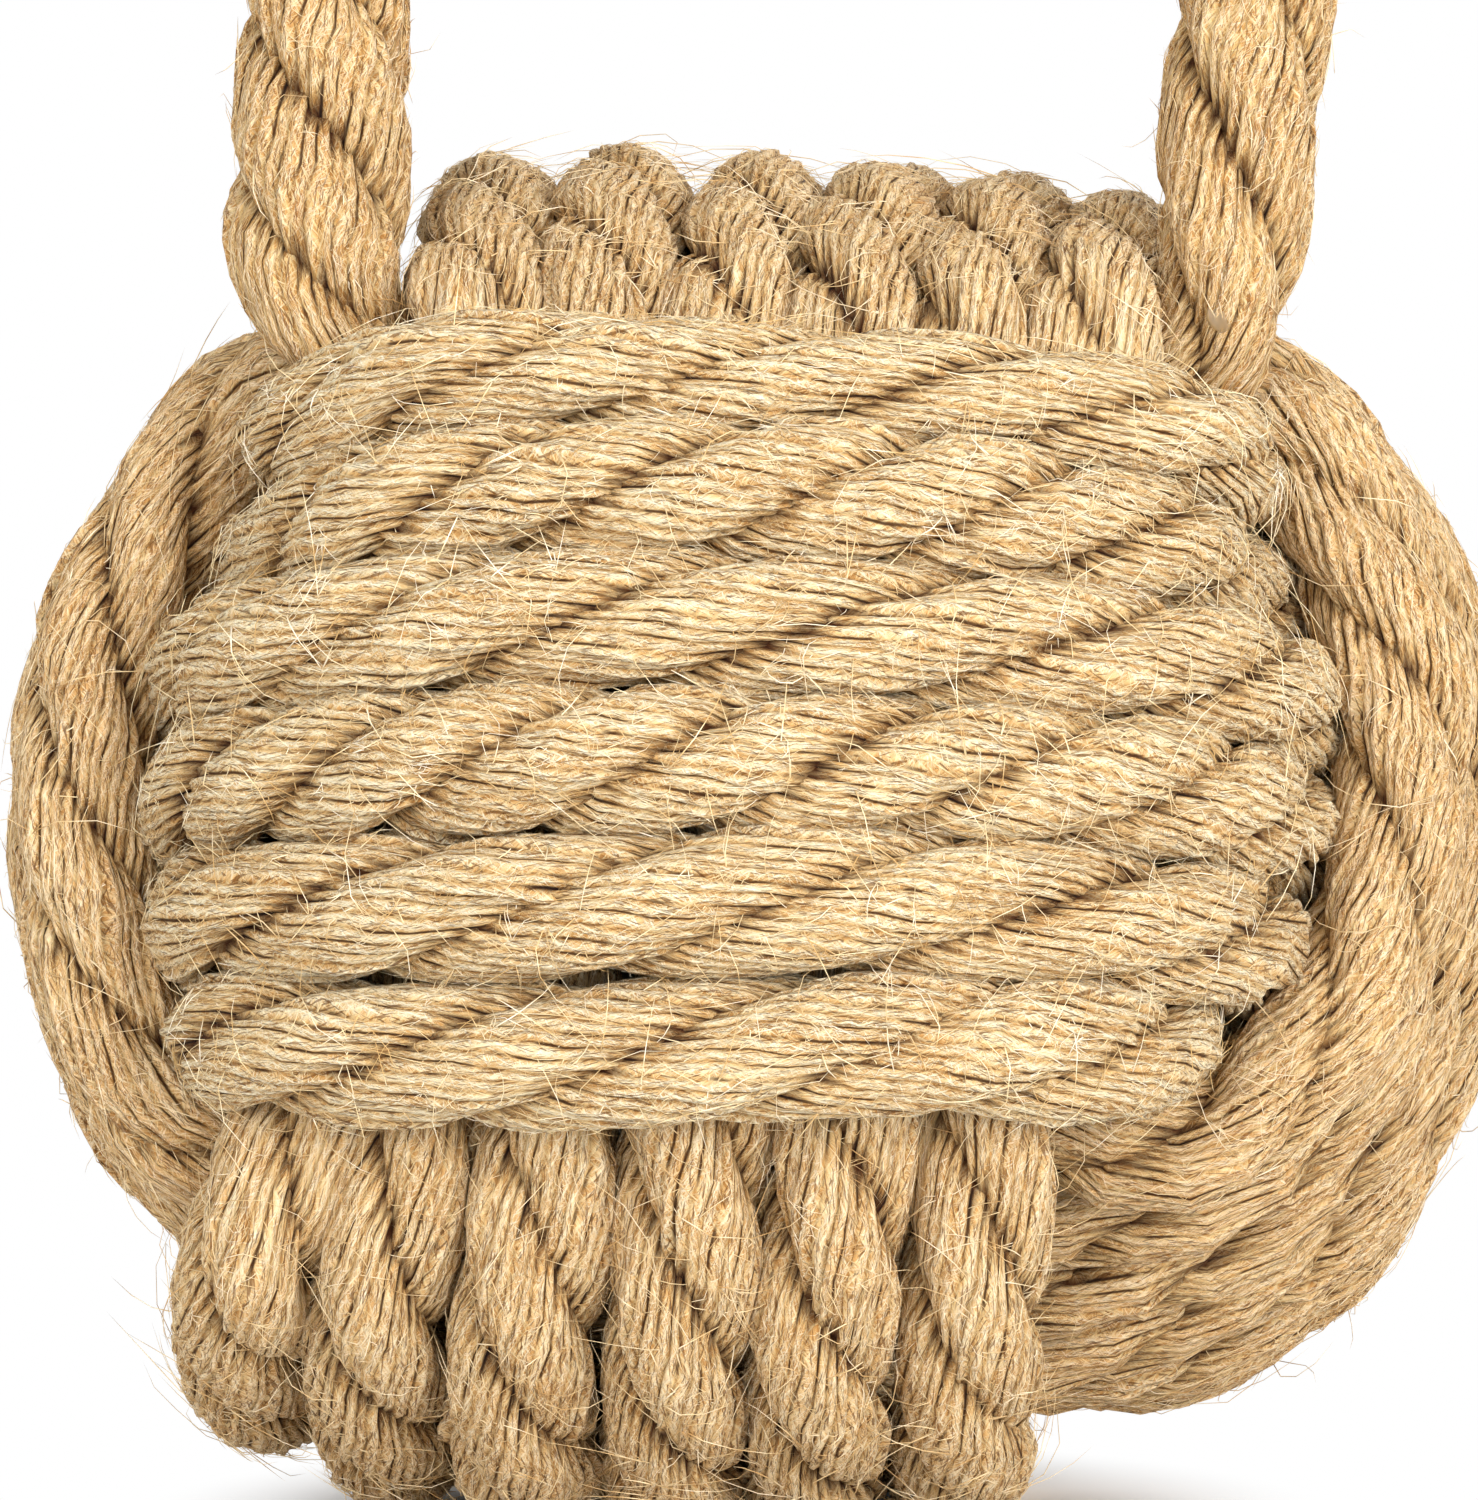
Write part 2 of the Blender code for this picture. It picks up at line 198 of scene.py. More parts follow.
def front_across(degrees, row):
    """Level rows from the top down, and across the front face the heights of the table.

    A height above the floor is turned back into a distance up the leaning knot, from the depth
    at which the row lies there.
    """
    fair = ((TURNS - 1) / 2 - row) * PITCH
    depth = np.sqrt((around(degrees, *FRONT_REACH[:2]) / 1000) ** 2 - fair**2)
    sideways = np.sin(np.radians(degrees)) * depth
    depth = np.cos(np.radians(degrees)) * depth
    heights = np.array([np.interp(1000 * sideways, ROW_STATIONS, line) for line in ROW_HEIGHTS])
    height = between_rows(heights, row) / 1000 - KNOT_MIDDLE[2]
    measured = (height - depth * math.sin(LEAN_BACK)) / math.cos(LEAN_BACK)
    seen = passed(np.cos(np.radians(degrees)), *MEASURED_FROM)
    return fair * drawn_close(degrees) * (1 - seen) + measured * seen


# Where each crown turn lies, left to right, in millimetres: over the top, at the top front, at
# the bottom front, under the bottom, and at the bottom back and the top back.
CROWN_STATIONS = (0, 48, 118, 150, 180, 228, 312)
CROWN_PLACES = (
    (-24.2, -25.0, -43.0, -48.5, -48.0, -44.0, -27.0),
    (-10.4, -12.6, -31.0, -36.0, -35.0, -30.5, -14.0),
    (3.2, 0.0, -17.0, -21.5, -20.5, -16.5, -1.5),
    (17.4, 12.2, -2.5, -7.0, -6.5, -3.0, 11.0),
    (29.8, 24.0, 11.2, 7.0, 7.5, 11.5, 23.5),
    (40.2, 34.8, 25.2, 21.5, 21.5, 25.5, 36.0),
)


def crown_across(degrees, row):
    """Each turn's own place from left to right, read round the set and between the rows."""
    table = np.array([around(degrees, CROWN_STATIONS, places) for places in CROWN_PLACES])
    return between_rows(table, row) / 1000


def side_across(degrees, row):
    """Upright rows from the front back, a pitch apart and closer where they are hidden."""
    return ((TURNS - 1) / 2 - row) * PITCH * drawn_close(degrees)


X, Y, Z = np.eye(3)
courses = {
    "front": wound_set(-Y, X, FRONT_REACH, front_across, 90.0),
    "crown": wound_set(Z, -Y, CROWN_REACH, crown_across, 90.0),
    "side": wound_set(X, Z, SIDE_REACH, side_across, 90.0),
}

# The handle is a thicker rope. From the arch its legs come down in front of the knot's top and
# go in at the two corner holes. Inside, its thinner pressed ends run under the crown turns and
# meet in the middle. Points are in millimetres over the floor, left leg first.
HANDLE_WIDTH = 0.0149
TAIL_WIDTH = 0.0112
HANDLE_POINTS = (
    (-0.6, -35.0, 109.6), (-12, -35.0, 109.6), (-22, -35.6, 110.0), (-31, -37.2, 111.6),
    (-37.2, -38.8, 116.0), (-40.2, -39.3, 123.0), (-40.3, -38.2, 132.0), (-40.5, -36.8, 141.0),
    (-40.1, -35.0, 151.0), (-40.3, -33.0, 163.0), (-40.6, -30.7, 176.0), (-39.2, -28.3, 190.0),
    (-33.8, -25.7, 204.0), (-24.5, -23.2, 218.0), (-11.5, -21.5, 227.8), (3.5, -20.8, 231.6),
    (18.5, -21.3, 228.6), (32.0, -22.9, 219.4), (42.5, -25.4, 205.4), (48.9, -28.2, 190.4),
    (51.0, -30.7, 176.4), (51.0, -33.0, 164.0), (50.3, -35.0, 152.0), (48.5, -36.4, 141.0),
    (47.3, -37.4, 131.0), (46.8, -37.0, 122.0), (44.6, -35.5, 114.5), (37.0, -34.5, 110.5),
    (28.0, -34.6, 109.6), (16, -35.0, 109.6), (0.6, -35.0, 109.6),
)


def through(points, spacing):
    """A smooth line through the points: a cubic for each span, read at even steps of length."""
    points = np.array(points, float)
    ends = np.concatenate([[2 * points[0] - points[1]], points, [2 * points[-1] - points[-2]]])
    share = np.linspace(0, 1, 40, endpoint=False)[:, None, None]
    a, b, c, d = (ends[i : len(ends) - 3 + i][None] for i in range(4))
    line = 0.5 * (
        2 * b
        + (c - a) * share
        + (2 * a - 5 * b + 4 * c - d) * share**2
        + (3 * b - a - 3 * c + d) * share**3
    )
    line = np.concatenate([line.transpose(1, 0, 2).reshape(-1, 3), points[-1:]])
    return evenly(line, spacing)


def length_of(line):
    """The length along the line at each of its points."""
    return np.concatenate([[0], np.linalg.norm(np.diff(line, axis=0), axis=1).cumsum()])


def evenly(line, spacing):
    """The same line read at even steps of its length."""
    run = length_of(line)
    steps = np.linspace(0, run[-1], int(run[-1] / spacing) + 1)
    return np.stack([np.interp(steps, run, line[:, axis]) for axis in range(3)], -1)


def eased(values, width):
    """The values averaged over a bell of this many points along their first axis."""
    reach = int(3 * width)
    bell = np.exp(-0.5 * (np.arange(-reach, reach + 1) / width) ** 2)
    bell /= bell.sum()
    values = np.array(values, float)
    flat = values.reshape(len(values), -1)
    first, last = flat[:1], flat[-1:]
    ends = np.arange(reach, 0, -1)[:, None]
    slope_in, slope_out = flat[1:2] - first, last - flat[-2:-1]
    long = np.concatenate([first - ends * slope_in, flat, last + ends[::-1] * slope_out])
    soft = [np.convolve(column, bell, mode="valid") for column in long.T]
    return np.stack(soft, -1).reshape(values.shape)


# Each leg thins to the tail's width from the first height downwards, over the second distance.
# The left one is opened by its bend just above the hole, so it swells there.
LEFT_THINS = (0.127, 0.014)
RIGHT_THINS = (0.141, 0.030)
SWELLING = 0.11
SWELLING_HEIGHT = 0.132
SWELLING_REACH = 0.013


def thinned(height, below, over):
    """How far a leg is thinned at a height: 0 down to where it starts, and 1 past its end."""
    return smooth((below - height) / over)


handle_line = through(HANDLE_POINTS, POINT_SPACING * 1000) / 1000
height = handle_line[:, 2]
left_leg = handle_line[:, 0] < 0
inner = np.where(left_leg, thinned(height, *LEFT_THINS), thinned(height, *RIGHT_THINS))
swelling = SWELLING * left_leg * np.exp(-(((height - SWELLING_HEIGHT) / SWELLING_REACH) ** 2))
handle_width = HANDLE_WIDTH * (1 + swelling)
handle_width = handle_width - (handle_width - TAIL_WIDTH) * inner

# The turns are pushed apart in rounds. Neighbours are looked for anew every few rounds, and
# points of one rope that lie close along it don't push each other.
ROUNDS = 110
ROUNDS_BETWEEN_SEARCHES = 22
NEIGHBOUR_REACH = 0.020
HANDLE_NEIGHBOUR_REACH = 0.024
POINTS_LEFT_ALONE = 9
TURN_PUSH = 0.22
HANDLE_PUSH = 0.35
LONGEST_PUSH = 0.0012
DRAW_BACK = 0.03
EASING = 0.4
EASING_WIDTH = 1.2
LOWEST_CENTRE = 0.0058


def settled(lines, widths, fixed, fixed_widths):
    """The ropes pushed apart until none lies within a rope's width of another.

    In each round, points closer than their widths allow are moved apart by a share of what they
    lack, every line is eased a little along its length, and it is drawn back a little to where
    it started. The handle doesn't move, and nothing sinks into the floor.
    """
    sizes = [len(line) for line in lines]
    start = np.concatenate(lines)
    place = start.copy()
    rope = np.repeat(np.arange(len(sizes)), sizes)
    along = np.concatenate([np.arange(size) for size in sizes])
    width = np.concatenate([np.full(size, w) for size, w in zip(sizes, widths)])
    for turn in range(ROUNDS):
        if turn % ROUNDS_BETWEEN_SEARCHES == 0:
            square = (place**2).sum(1)
            apart = square[:, None] + square[None] - 2 * place @ place.T
            near = apart < NEIGHBOUR_REACH**2
            same = rope[:, None] == rope[None]
            same &= abs(along[:, None] - along[None]) < POINTS_LEFT_ALONE
            i, j = np.nonzero(np.triu(near & ~same, 1))
            square_fixed = (fixed**2).sum(1)
            apart = square[:, None] + square_fixed[None] - 2 * place @ fixed.T
            k, m = np.nonzero(apart < HANDLE_NEIGHBOUR_REACH**2)
        push = np.zeros_like(place)
        gap = place[i] - place[j]
        far = np.linalg.norm(gap, axis=1)
        lack = np.maximum((width[i] + width[j]) / 2 - far, 0) / np.maximum(far, 1e-6)
        step = TURN_PUSH * lack[:, None] * gap
        for axis in range(3):
            push[:, axis] += np.bincount(i, step[:, axis], len(place))
            push[:, axis] -= np.bincount(j, step[:, axis], len(place))
        gap = place[k] - fixed[m]
        far = np.linalg.norm(gap, axis=1)
        lack = np.maximum((width[k] + fixed_widths[m]) / 2 - far, 0) / np.maximum(far, 1e-6)
        step = HANDLE_PUSH * lack[:, None] * gap
        for axis in range(3):
            push[:, axis] += np.bincount(k, step[:, axis], len(place))
        longest = np.linalg.norm(push, axis=1, keepdims=True)
        place += push * np.minimum(1, LONGEST_PUSH / np.maximum(longest, 1e-9))
        place += DRAW_BACK * (start - place)
        parts = np.split(place, np.cumsum(sizes)[:-1])
        soft = np.concatenate([eased(part, EASING_WIDTH) for part in parts])
        place = place * (1 - EASING) + EASING * soft
        place[:, 2] = np.maximum(place[:, 2], LOWEST_CENTRE)
    return np.split(place, np.cumsum(sizes)[:-1])


# The crown turns stand closest, pressed a little into one another, and the top front turn is
# pulled tighter than the rest, so it is thinner.
CROWN_SPACING = 0.0119
TIGHT_TURN_THINNER = 0.0020
tight = np.clip(1 - courses["front"][2], 0, 1)

names = list(courses)
wound = [to_floor(courses[name][0]) for name in names]
spacings = [ROPE_WIDTH - TIGHT_TURN_THINNER * tight, CROWN_SPACING, ROPE_WIDTH]
settled_lines = dict(zip(names, settled(wound, spacings, handle_line, handle_width)))

# The knot's rope: three strands laid left-handed round each other, each spun of about twenty
# jute yarns. The strands are what the eye reads as long slanting lumps along every turn.
STRANDS = 3
STRAND_REACH = 0.0032
STRAND_HALF_WIDTH = 0.00412
STRAND_HALF_DEPTH = 0.0033
STRAND_SQUARENESS = 0.88
YARNS = 20
YARN_RELIEF = 0.00036
YARN_COLUMNS = 3
LAY = 0.056
YARN_TURN = 1.85
SEEN_STEP = 0.0031
HIDDEN_STEP = 0.0068
FINE_SPACING = 0.0012
ROPE_END_TAPER = 0.012
LEAST_AT_END = 0.02
CROWN_FULLER = 0.06
TIGHT_TURN_SLIMMER = 0.14
OVER_FLOOR = 0.0002
chance = np.random.default_rng(7)

# For each front row, where a groove crosses it, in metres right of the middle, and its lay.
FRONT_GROOVES = (
    (-0.0129, 0.056),
    (-0.0176, 0.048),
    (-0.0026, 0.064),
    (-0.0129, 0.046),
    (-0.0046, 0.070),
    (-0.0199, 0.068),
)


def drifting(run, size, spacing, count, chance):
    """Slow random values of a usual size along a length: stops this far apart, eased between."""
    stops = int(run[-1] / spacing) + 3
    values = chance.standard_normal((stops, count))
    place = run / spacing
    low = np.floor(place).astype(int)
    share = smooth(place - low)[:, None]
    return size * (values[low] * (1 - share) + values[low + 1] * share)


def even_twist(run, lay):
    """The rope's twist in radians where every lay length makes one left-handed turn."""
    return -2 * np.pi * run / lay


def groove_twist(run, faces):
    """The twist that puts a groove in front at a given length on each face.

    A face is its first and last length, the groove's length, and the rope's lay there. Between
    two faces the twist runs evenly, by the number of thirds of a turn that comes nearest to the
    usual lay.
    """
    stops, twists = [], []
    for first, last, cross, lay in faces:
        ends = np.array([first, last])
        there = np.pi / 3 - 2 * np.pi * (ends - cross) / lay
        if stops:
            fair = twists[-1] - 2 * np.pi * (ends[0] - stops[-1]) / LAY
            there += np.round((fair - there[0]) / (2 * np.pi / 3)) * 2 * np.pi / 3
        stops += list(ends)
        twists += list(there)
    first = twists[0] + 2 * np.pi * stops[0] / LAY
    last = twists[-1] - 2 * np.pi * (run[-1] - stops[-1]) / LAY
    return np.interp(run, [0] + stops + [run[-1]], [first] + twists + [last])


def front_faces(run, line, degrees):
    """Where each turn crosses the front face, and where its groove in the table comes."""
    faces = []
    for turn, (place, lay) in enumerate(FRONT_GROOVES):
        face = np.nonzero(abs(degrees - 360.0 * (turn + 1)) < FACE_HALF_ANGLE)[0]
        faces.append((*run[face[[0, -1]]], np.interp(place, line[face, 0], run[face]), lay))
    return faces


def carried(line, across):
    """Outward and sideways directions along a line whose rows are stacked in one direction."""
    forward = unit(np.gradient(line, axis=0))
    side = unit(across - (forward @ across)[:, None] * forward)
    return np.cross(side, forward), side


def ring_places(run, seen):
    """Lengths at which rings stand: close together where the rope shows, wider where it hides."""
    step = HIDDEN_STEP + (SEEN_STEP - HIDDEN_STEP) * seen
    rings = np.concatenate([[0], np.cumsum(np.diff(run) / ((step[1:] + step[:-1]) / 2))])
    return np.interp(np.linspace(0, rings[-1], int(rings[-1]) + 1), rings, run)


def read_at(rings, run, values):
    """Vectors known at every length of the run, read at the rings' lengths."""
    return np.stack([np.interp(rings, run, column) for column in values.T], -1)


# How much chance changes a rope's twist and place, a strand's fullness, its distance from the
# middle, and its yarns' places, ridges and heights, and over what length each of these changes.
TWIST_DRIFT = (0.15, 0.045)
HANDLE_TWIST_DRIFT = (0.04, 0.05)
ROPE_DRIFT = (0.00025, 0.034)
FULLNESS_DRIFT = (0.05, 0.021)
REACH_DRIFT = (0.06, 0.026)
YARN_PLACE_DRIFT = (0.14, 0.024)
YARN_RIDGE_DRIFT = (0.55, 0.017)
YARN_HEIGHT_DRIFT = (0.00016, 0.030)


def strand_grid(line, out, side, twist, width, number, chance, yarns, run):
    """One strand's skin as a grid of rings by columns.

    Its middle runs round the rope's line at the twist. Its section is an oval, with one ridge
    for each yarn, and the columns follow the yarns, which turn back against the lay.
    """
    angle = twist + 2 * np.pi * number / STRANDS
    outward = np.cos(angle)[:, None] * out + np.sin(angle)[:, None] * side
    round_it = -np.sin(angle)[:, None] * out + np.cos(angle)[:, None] * side
    fuller = 1 + drifting(run, *FULLNESS_DRIFT, 1, chance)
    reach = STRAND_REACH * (1 + drifting(run, *REACH_DRIFT, 1, chance)) * width
    middle = line + reach * outward
    columns = yarns * YARN_COLUMNS
    column = np.arange(columns)
    yarn_angle = 2 * np.pi / yarns
    spread = yarn_angle * (column // YARN_COLUMNS)
    loose = yarn_angle * drifting(run, *YARN_PLACE_DRIFT, yarns, chance)
    spread = spread + np.repeat(loose, YARN_COLUMNS, axis=1)
    within = yarn_angle * (column % YARN_COLUMNS) / YARN_COLUMNS
    turned = -YARN_TURN * twist[:, None] + spread + within
    crest = np.array([0.0, 1.0, 1.0])[column % YARN_COLUMNS]
    proud = 1 + drifting(run, *YARN_RIDGE_DRIFT, yarns, chance)
    raised = drifting(run, *YARN_HEIGHT_DRIFT, yarns, chance)
    ridge = YARN_RELIEF * crest * np.repeat(proud, YARN_COLUMNS, axis=1)
    ridge = ridge + np.repeat(raised, YARN_COLUMNS, axis=1) * crest
    deep = np.sign(np.cos(turned)) * np.abs(np.cos(turned)) ** STRAND_SQUARENESS
    broad = np.sign(np.sin(turned)) * np.abs(np.sin(turned)) ** STRAND_SQUARENESS
    deep = (STRAND_HALF_DEPTH * fuller * width + ridge) * deep
    broad = (STRAND_HALF_WIDTH * fuller * width + ridge) * broad
    grid = middle[:, None] + deep[..., None] * outward[:, None]
    grid = grid + broad[..., None] * round_it[:, None]
    return grid, crest * np.ones_like(turned), middle


def piece(name, points, corners, starts):
    """A smooth mesh as an object: its points, its faces' corners, and where each face starts."""
    mesh = bpy.data.meshes.new(name)
    mesh.vertices.add(len(points))
    mesh.vertices.foreach_set("co", points.astype(np.float32).ravel())
    mesh.loops.add(len(corners))
    mesh.loops.foreach_set("vertex_index", corners.astype(np.int32))
    mesh.polygons.add(len(starts))
    mesh.polygons.foreach_set("loop_start", starts.astype(np.int32))
    mesh.update(calc_edges=True)
    mesh.shade_smooth()
    made = bpy.data.objects.new(name, mesh)
    bpy.context.scene.collection.objects.link(made)
    return made


def skin(name, grid, hollow, yarns, run):
    """A closed mesh over a grid of rings by columns that wrap round, with pointed ends.

    Its UV map counts yarns across and metres along, and its shade attribute is the hollow.
    """
    rings, columns = grid.shape[:2]
    ends = np.stack([grid[0].mean(0), grid[-1].mean(0)])
    points = np.concatenate([grid.reshape(-1, 3), ends])
    r, c = np.meshgrid(np.arange(rings - 1), np.arange(columns), indexing="ij")
    after = (c + 1) % columns
    here, next_ring = r * columns, (r + 1) * columns
    quads = np.stack([here + c, here + after, next_ring + after, next_ring + c], -1)
    c = np.arange(columns)
    after = (c + 1) % columns
    top = rings * columns
    first = np.stack([np.full(columns, top), after, c], -1)
    last_row = (rings - 1) * columns
    last = np.stack([np.full(columns, top + 1), last_row + c, last_row + after], -1)
    corners = np.concatenate([quads.ravel(), first.ravel(), last.ravel()])
    sizes = np.concatenate([np.full(quads.shape[0] * columns, 4), np.full(2 * columns, 3)])
    made = piece(name, points, corners, np.cumsum(sizes) - sizes)
    across = (quads[..., 0] % columns).ravel()
    u = np.stack([across, across + 1, across + 1, across], -1) * (yarns / columns)
    v = np.stack([run[quads[..., k] // columns].ravel() for k in range(4)], -1)
    u = np.append(u, np.full(6 * columns, 0.5))
    v = np.append(v, np.repeat([run[0], run[-1]], 3 * columns))
    uv = np.stack([u, v], -1)
    layer = made.data.uv_layers.new(name="yarns")
    layer.uv.foreach_set("vector", uv.astype(np.float32).ravel())
    shade = made.data.attributes.new("hollow", "FLOAT", "POINT")
    shade.data.foreach_set("value", np.append(hollow.ravel(), [1, 1]).astype(np.float32))
    return made


# The painted shade of the groove between strands starts at this share of the rope's half width
# and is whole this much deeper. A yarn's valley gets this much of that shade.
GROOVE_FROM = 0.91
GROOVE_OVER = 0.19
YARN_VALLEY = 0.54


def hollow_of(grid, line, crest, width):
    """How deep a point lies in a groove, between yarns and between the strands of the rope: the share of
    painted shade that it gets.
    """
    half = (STRAND_REACH + STRAND_HALF_DEPTH) * width
    from_line = np.linalg.norm(grid - line[:, None], axis=2)
    between_strands = smooth((GROOVE_FROM * half - from_line) / (GROOVE_OVER * half))
    return np.clip(YARN_VALLEY * (1 - crest) + between_strands, 0, 1)


def srgb(code):
    """A hex colour turned to linear red, green, blue and an alpha of 1."""
    parts = [int(code[i : i + 2], 16) / 255 for i in (1, 3, 5)]
    return (*[p / 12.92 if p <= 0.04045 else ((p + 0.055) / 1.055) ** 2.4 for p in parts], 1.0)


def node(tree, kind, settings=None, stops=(), **inputs):
    """Adds a node, sets its properties and a ramp's stops, and sets or links its inputs.

    An input is named by its label with _ for a space, or by i and its number.
    """
    made = tree.nodes.new(kind)
    for key, value in (settings or {}).items():
        setattr(made, key, value)
    for _ in stops[2:]:
        made.color_ramp.elements.new(0.5)
    for number, (place, code) in enumerate(stops):
        made.color_ramp.elements[number].position = place
        made.color_ramp.elements[number].color = srgb(code)
    for key, value in inputs.items():
        numbered = key[0] == "i" and key[1:].isdigit()
        socket = made.inputs[int(key[1:]) if numbered else key.replace("_", " ")]
        if isinstance(value, bpy.types.NodeSocket):
            tree.links.new(value, socket)
        else:
            socket.default_value = value
    return made


def reckoned(tree, operation, *values):
    """The result of a maths node on up to three values or sockets."""
    inputs = {f"i{number}": value for number, value in enumerate(values)}
    return node(tree, "ShaderNodeMath", {"operation": operation}, **inputs).outputs[0]


def placed(tree, operation, *values):
    """The result of a vector maths node on up to three vectors or sockets."""
    inputs = {f"i{number}": value for number, value in enumerate(values)}
    return node(tree, "ShaderNodeVectorMath", {"operation": operation}, **inputs).outputs[0]


def eased_in(tree, value, low, high):
    """0 where the value is at its low bound, 1 at its high one, and an S curve between them."""
    settings = {"interpolation_type": "SMOOTHSTEP"}
    made = node(tree, "ShaderNodeMapRange", settings, Value=value, From_Min=low, From_Max=high)
    return made.outputs[0]


def ramp(tree, share, *stops):
    """A colour read from stops, each a place from 0 to 1 and a hex colour."""
    return node(tree, "ShaderNodeValToRGB", stops=stops, Fac=share).outputs["Color"]


def blended(tree, share, under, over, how="MIX"):
    """One colour laid over another by a share from 0 to 1."""
    settings = {"data_type": "RGBA", "blend_type": how}
    return node(tree, "ShaderNodeMix", settings, i0=share, i6=under, i7=over).outputs[2]


def flat_noise(tree, place):
    """Soft noise over the rope's unrolled skin, about one lump for each unit of the place."""
    settings = {"noise_dimensions": "2D"}
    made = node(tree, "ShaderNodeTexNoise", settings, Vector=place, Scale=1.0, Detail=2.0)
    return made.outputs["Fac"]


def new_material(name):
    """A new material, its node tree and the Principled shader on its output."""
    made = bpy.data.materials.new(name)
    made.use_nodes = True
    return made, made.node_tree, made.node_tree.nodes["Principled BSDF"]


def strokes(tree, place, degrees, width, length, low, high, seed):
    """Fibre strokes at a slant to the yarns: noise stretched to this width and length in mm.

    They show where the noise passes from the low to the high bound.
    """
    laid = node(
        tree,
        "ShaderNodeMapping",
        {"vector_type": "TEXTURE"},
        Vector=place,
        Location=(seed, seed * 3.7, 0),
        Rotation=(0, 0, math.radians(degrees)),
        Scale=(width, length, 1),
    )
    noise = node(
        tree,
        "ShaderNodeTexNoise",
        {"noise_dimensions": "2D"},
        Vector=laid.outputs[0],
        Scale=1.0,
        Detail=2.0,
        Roughness=0.6,
        Distortion=0.35,
    )
    return eased_in(tree, noise.outputs["Fac"], low, high)


def spun_jute(name, yarn_width, dark, middle, pale, tint, seed):
    """Spun jute: dull golden straw, hairy, with painted shade that browns every groove.

    Each yarn has a tone of its own. Fibres run along it at a slant, because it is spun, and others
    cross it where they have worked loose. Between some yarns a gap opens for a while, and its shade
    is painted in dark brown. Slow patches vary over the whole rope. The real fibres are a tenth of a
    millimetre wide, and here they are drawn at two tenths, which the picture can show.
    """
    made, tree, shader = new_material(name)
    uv = node(tree, "ShaderNodeUVMap", {"uv_map": "yarns"}).outputs["UV"]
    place = node(tree, "ShaderNodeTexCoord").outputs["Object"]
    flat = placed(tree, "MULTIPLY", uv, (yarn_width, 1000, 1))
    across = node(tree, "ShaderNodeSeparateXYZ", Vector=uv).outputs["X"]

    # A tone for each yarn that changes along it over 22 mm, slow patches, and spun fibres.
    yarn = placed(tree, "MULTIPLY", placed(tree, "FLOOR", uv), (7.31, 0, 0))
    yarn_tone = flat_noise(tree, placed(tree, "MULTIPLY_ADD", uv, (0, 45, 0), yarn))
    patches = node(tree, "ShaderNodeTexNoise", Vector=place, Scale=75.0, Detail=3.0)
    spun = strokes(tree, flat, 22, 0.22, 3.2, 0.25, 0.75, seed)
    mixed = reckoned(tree, "MULTIPLY", yarn_tone, 0.55)
    mixed = reckoned(tree, "MULTIPLY_ADD", spun, 0.40, mixed)
    mixed = reckoned(tree, "MULTIPLY_ADD", patches.outputs["Fac"], 0.35, mixed)
    colour = ramp(tree, mixed, (0.36, dark), (0.66, middle), (0.95, pale))

    # Pale fibres that cross the yarns both ways, and dark slits between fibres, whose colour is painted
    # shade: the slant to the yarn, the width and length in mm, the noise's bounds, the colour, and the
    # rise or dip.
    height = spun
    for degrees, width, length, low, high, code, raise_by in (
        (-16, 0.17, 2.8, 0.54, 0.63, "#FAF2D6", 0.7),
        (30, 0.16, 2.4, 0.56, 0.64, "#F7EECE", 0.7),
        (-62, 0.16, 1.8, 0.60, 0.67, "#FFF4DC", 0.6),
        (57, 0.15, 2.2, 0.60, 0.66, "#F6E2B6", 0.6),
        (-36, 0.15, 2.6, 0.61, 0.66, "#F8E6BE", 0.6),
        (9, 0.15, 2.6, 0.58, 0.66, "#754C20", -0.9),
        (-8, 0.14, 1.8, 0.61, 0.68, "#643F18", -0.9),
    ):
        drawn = strokes(tree, flat, degrees, width, length, low, high, seed + degrees)
        colour = blended(tree, reckoned(tree, "MULTIPLY", drawn, 0.72), colour, srgb(code))
        height = reckoned(tree, "MULTIPLY_ADD", drawn, raise_by, height)

    # The gap between two yarns, which opens and closes along them every 7 mm or so. Its shade is painted
    # in as a dark brown line, and it dips in the bump.
    gap = eased_in(tree, reckoned(tree, "PINGPONG", across, 0.5), 0.12, 0.03)
    nearest = placed(tree, "FLOOR", placed(tree, "ADD", uv, (0.5, 0, 0)))
    nearest = placed(tree, "MULTIPLY", nearest, (5.17, 0, 0))
    opens = flat_noise(tree, placed(tree, "MULTIPLY_ADD", uv, (0, 150, 0), nearest))
    slit = reckoned(tree, "MULTIPLY", gap, eased_in(tree, opens, 0.46, 0.62))
    colour = blended(tree, reckoned(tree, "MULTIPLY", slit, 0.92), colour, srgb("#472A0E"))
    height = reckoned(tree, "MULTIPLY_ADD", slit, -1.2, height)

    # Painted shade: the grooves between yarns and between strands are darkened to brown by their depth.
    hollow = node(tree, "ShaderNodeAttribute", {"attribute_name": "hollow"}).outputs["Fac"]
    tint_and_painted_shade = ramp(tree, hollow, (0.0, tint), (0.40, "#EEDABB"), (1.0, "#502E10"))
    colour = blended(tree, 1.0, colour, tint_and_painted_shade, "MULTIPLY")
    tree.links.new(colour, shader.inputs["Base Color"])
    shader.inputs["Roughness"].default_value = 0.8
    shader.inputs["Specular IOR Level"].default_value = 0.2
    bump = node(tree, "ShaderNodeBump", Height=height, Strength=0.7, Distance=0.00016)
    tree.links.new(bump.outputs["Normal"], shader.inputs["Normal"])
    return made


# The front turns are the palest of the knot, and the others are tinted browner.
straw = ("#AE844C", "#D7B684", "#F1E2BC")
knot_jute = {
    "front": spun_jute("spun_jute_12mm_rope", 1.2, *straw, "#FFFFFF", 3.0),
    "crown": spun_jute("spun_jute_12mm_rope_browner", 1.2, *straw, "#FFF6ED", 3.0),
    "side": spun_jute("spun_jute_12mm_rope_brownest", 1.2, *straw, "#FFF2E6", 3.0),
}

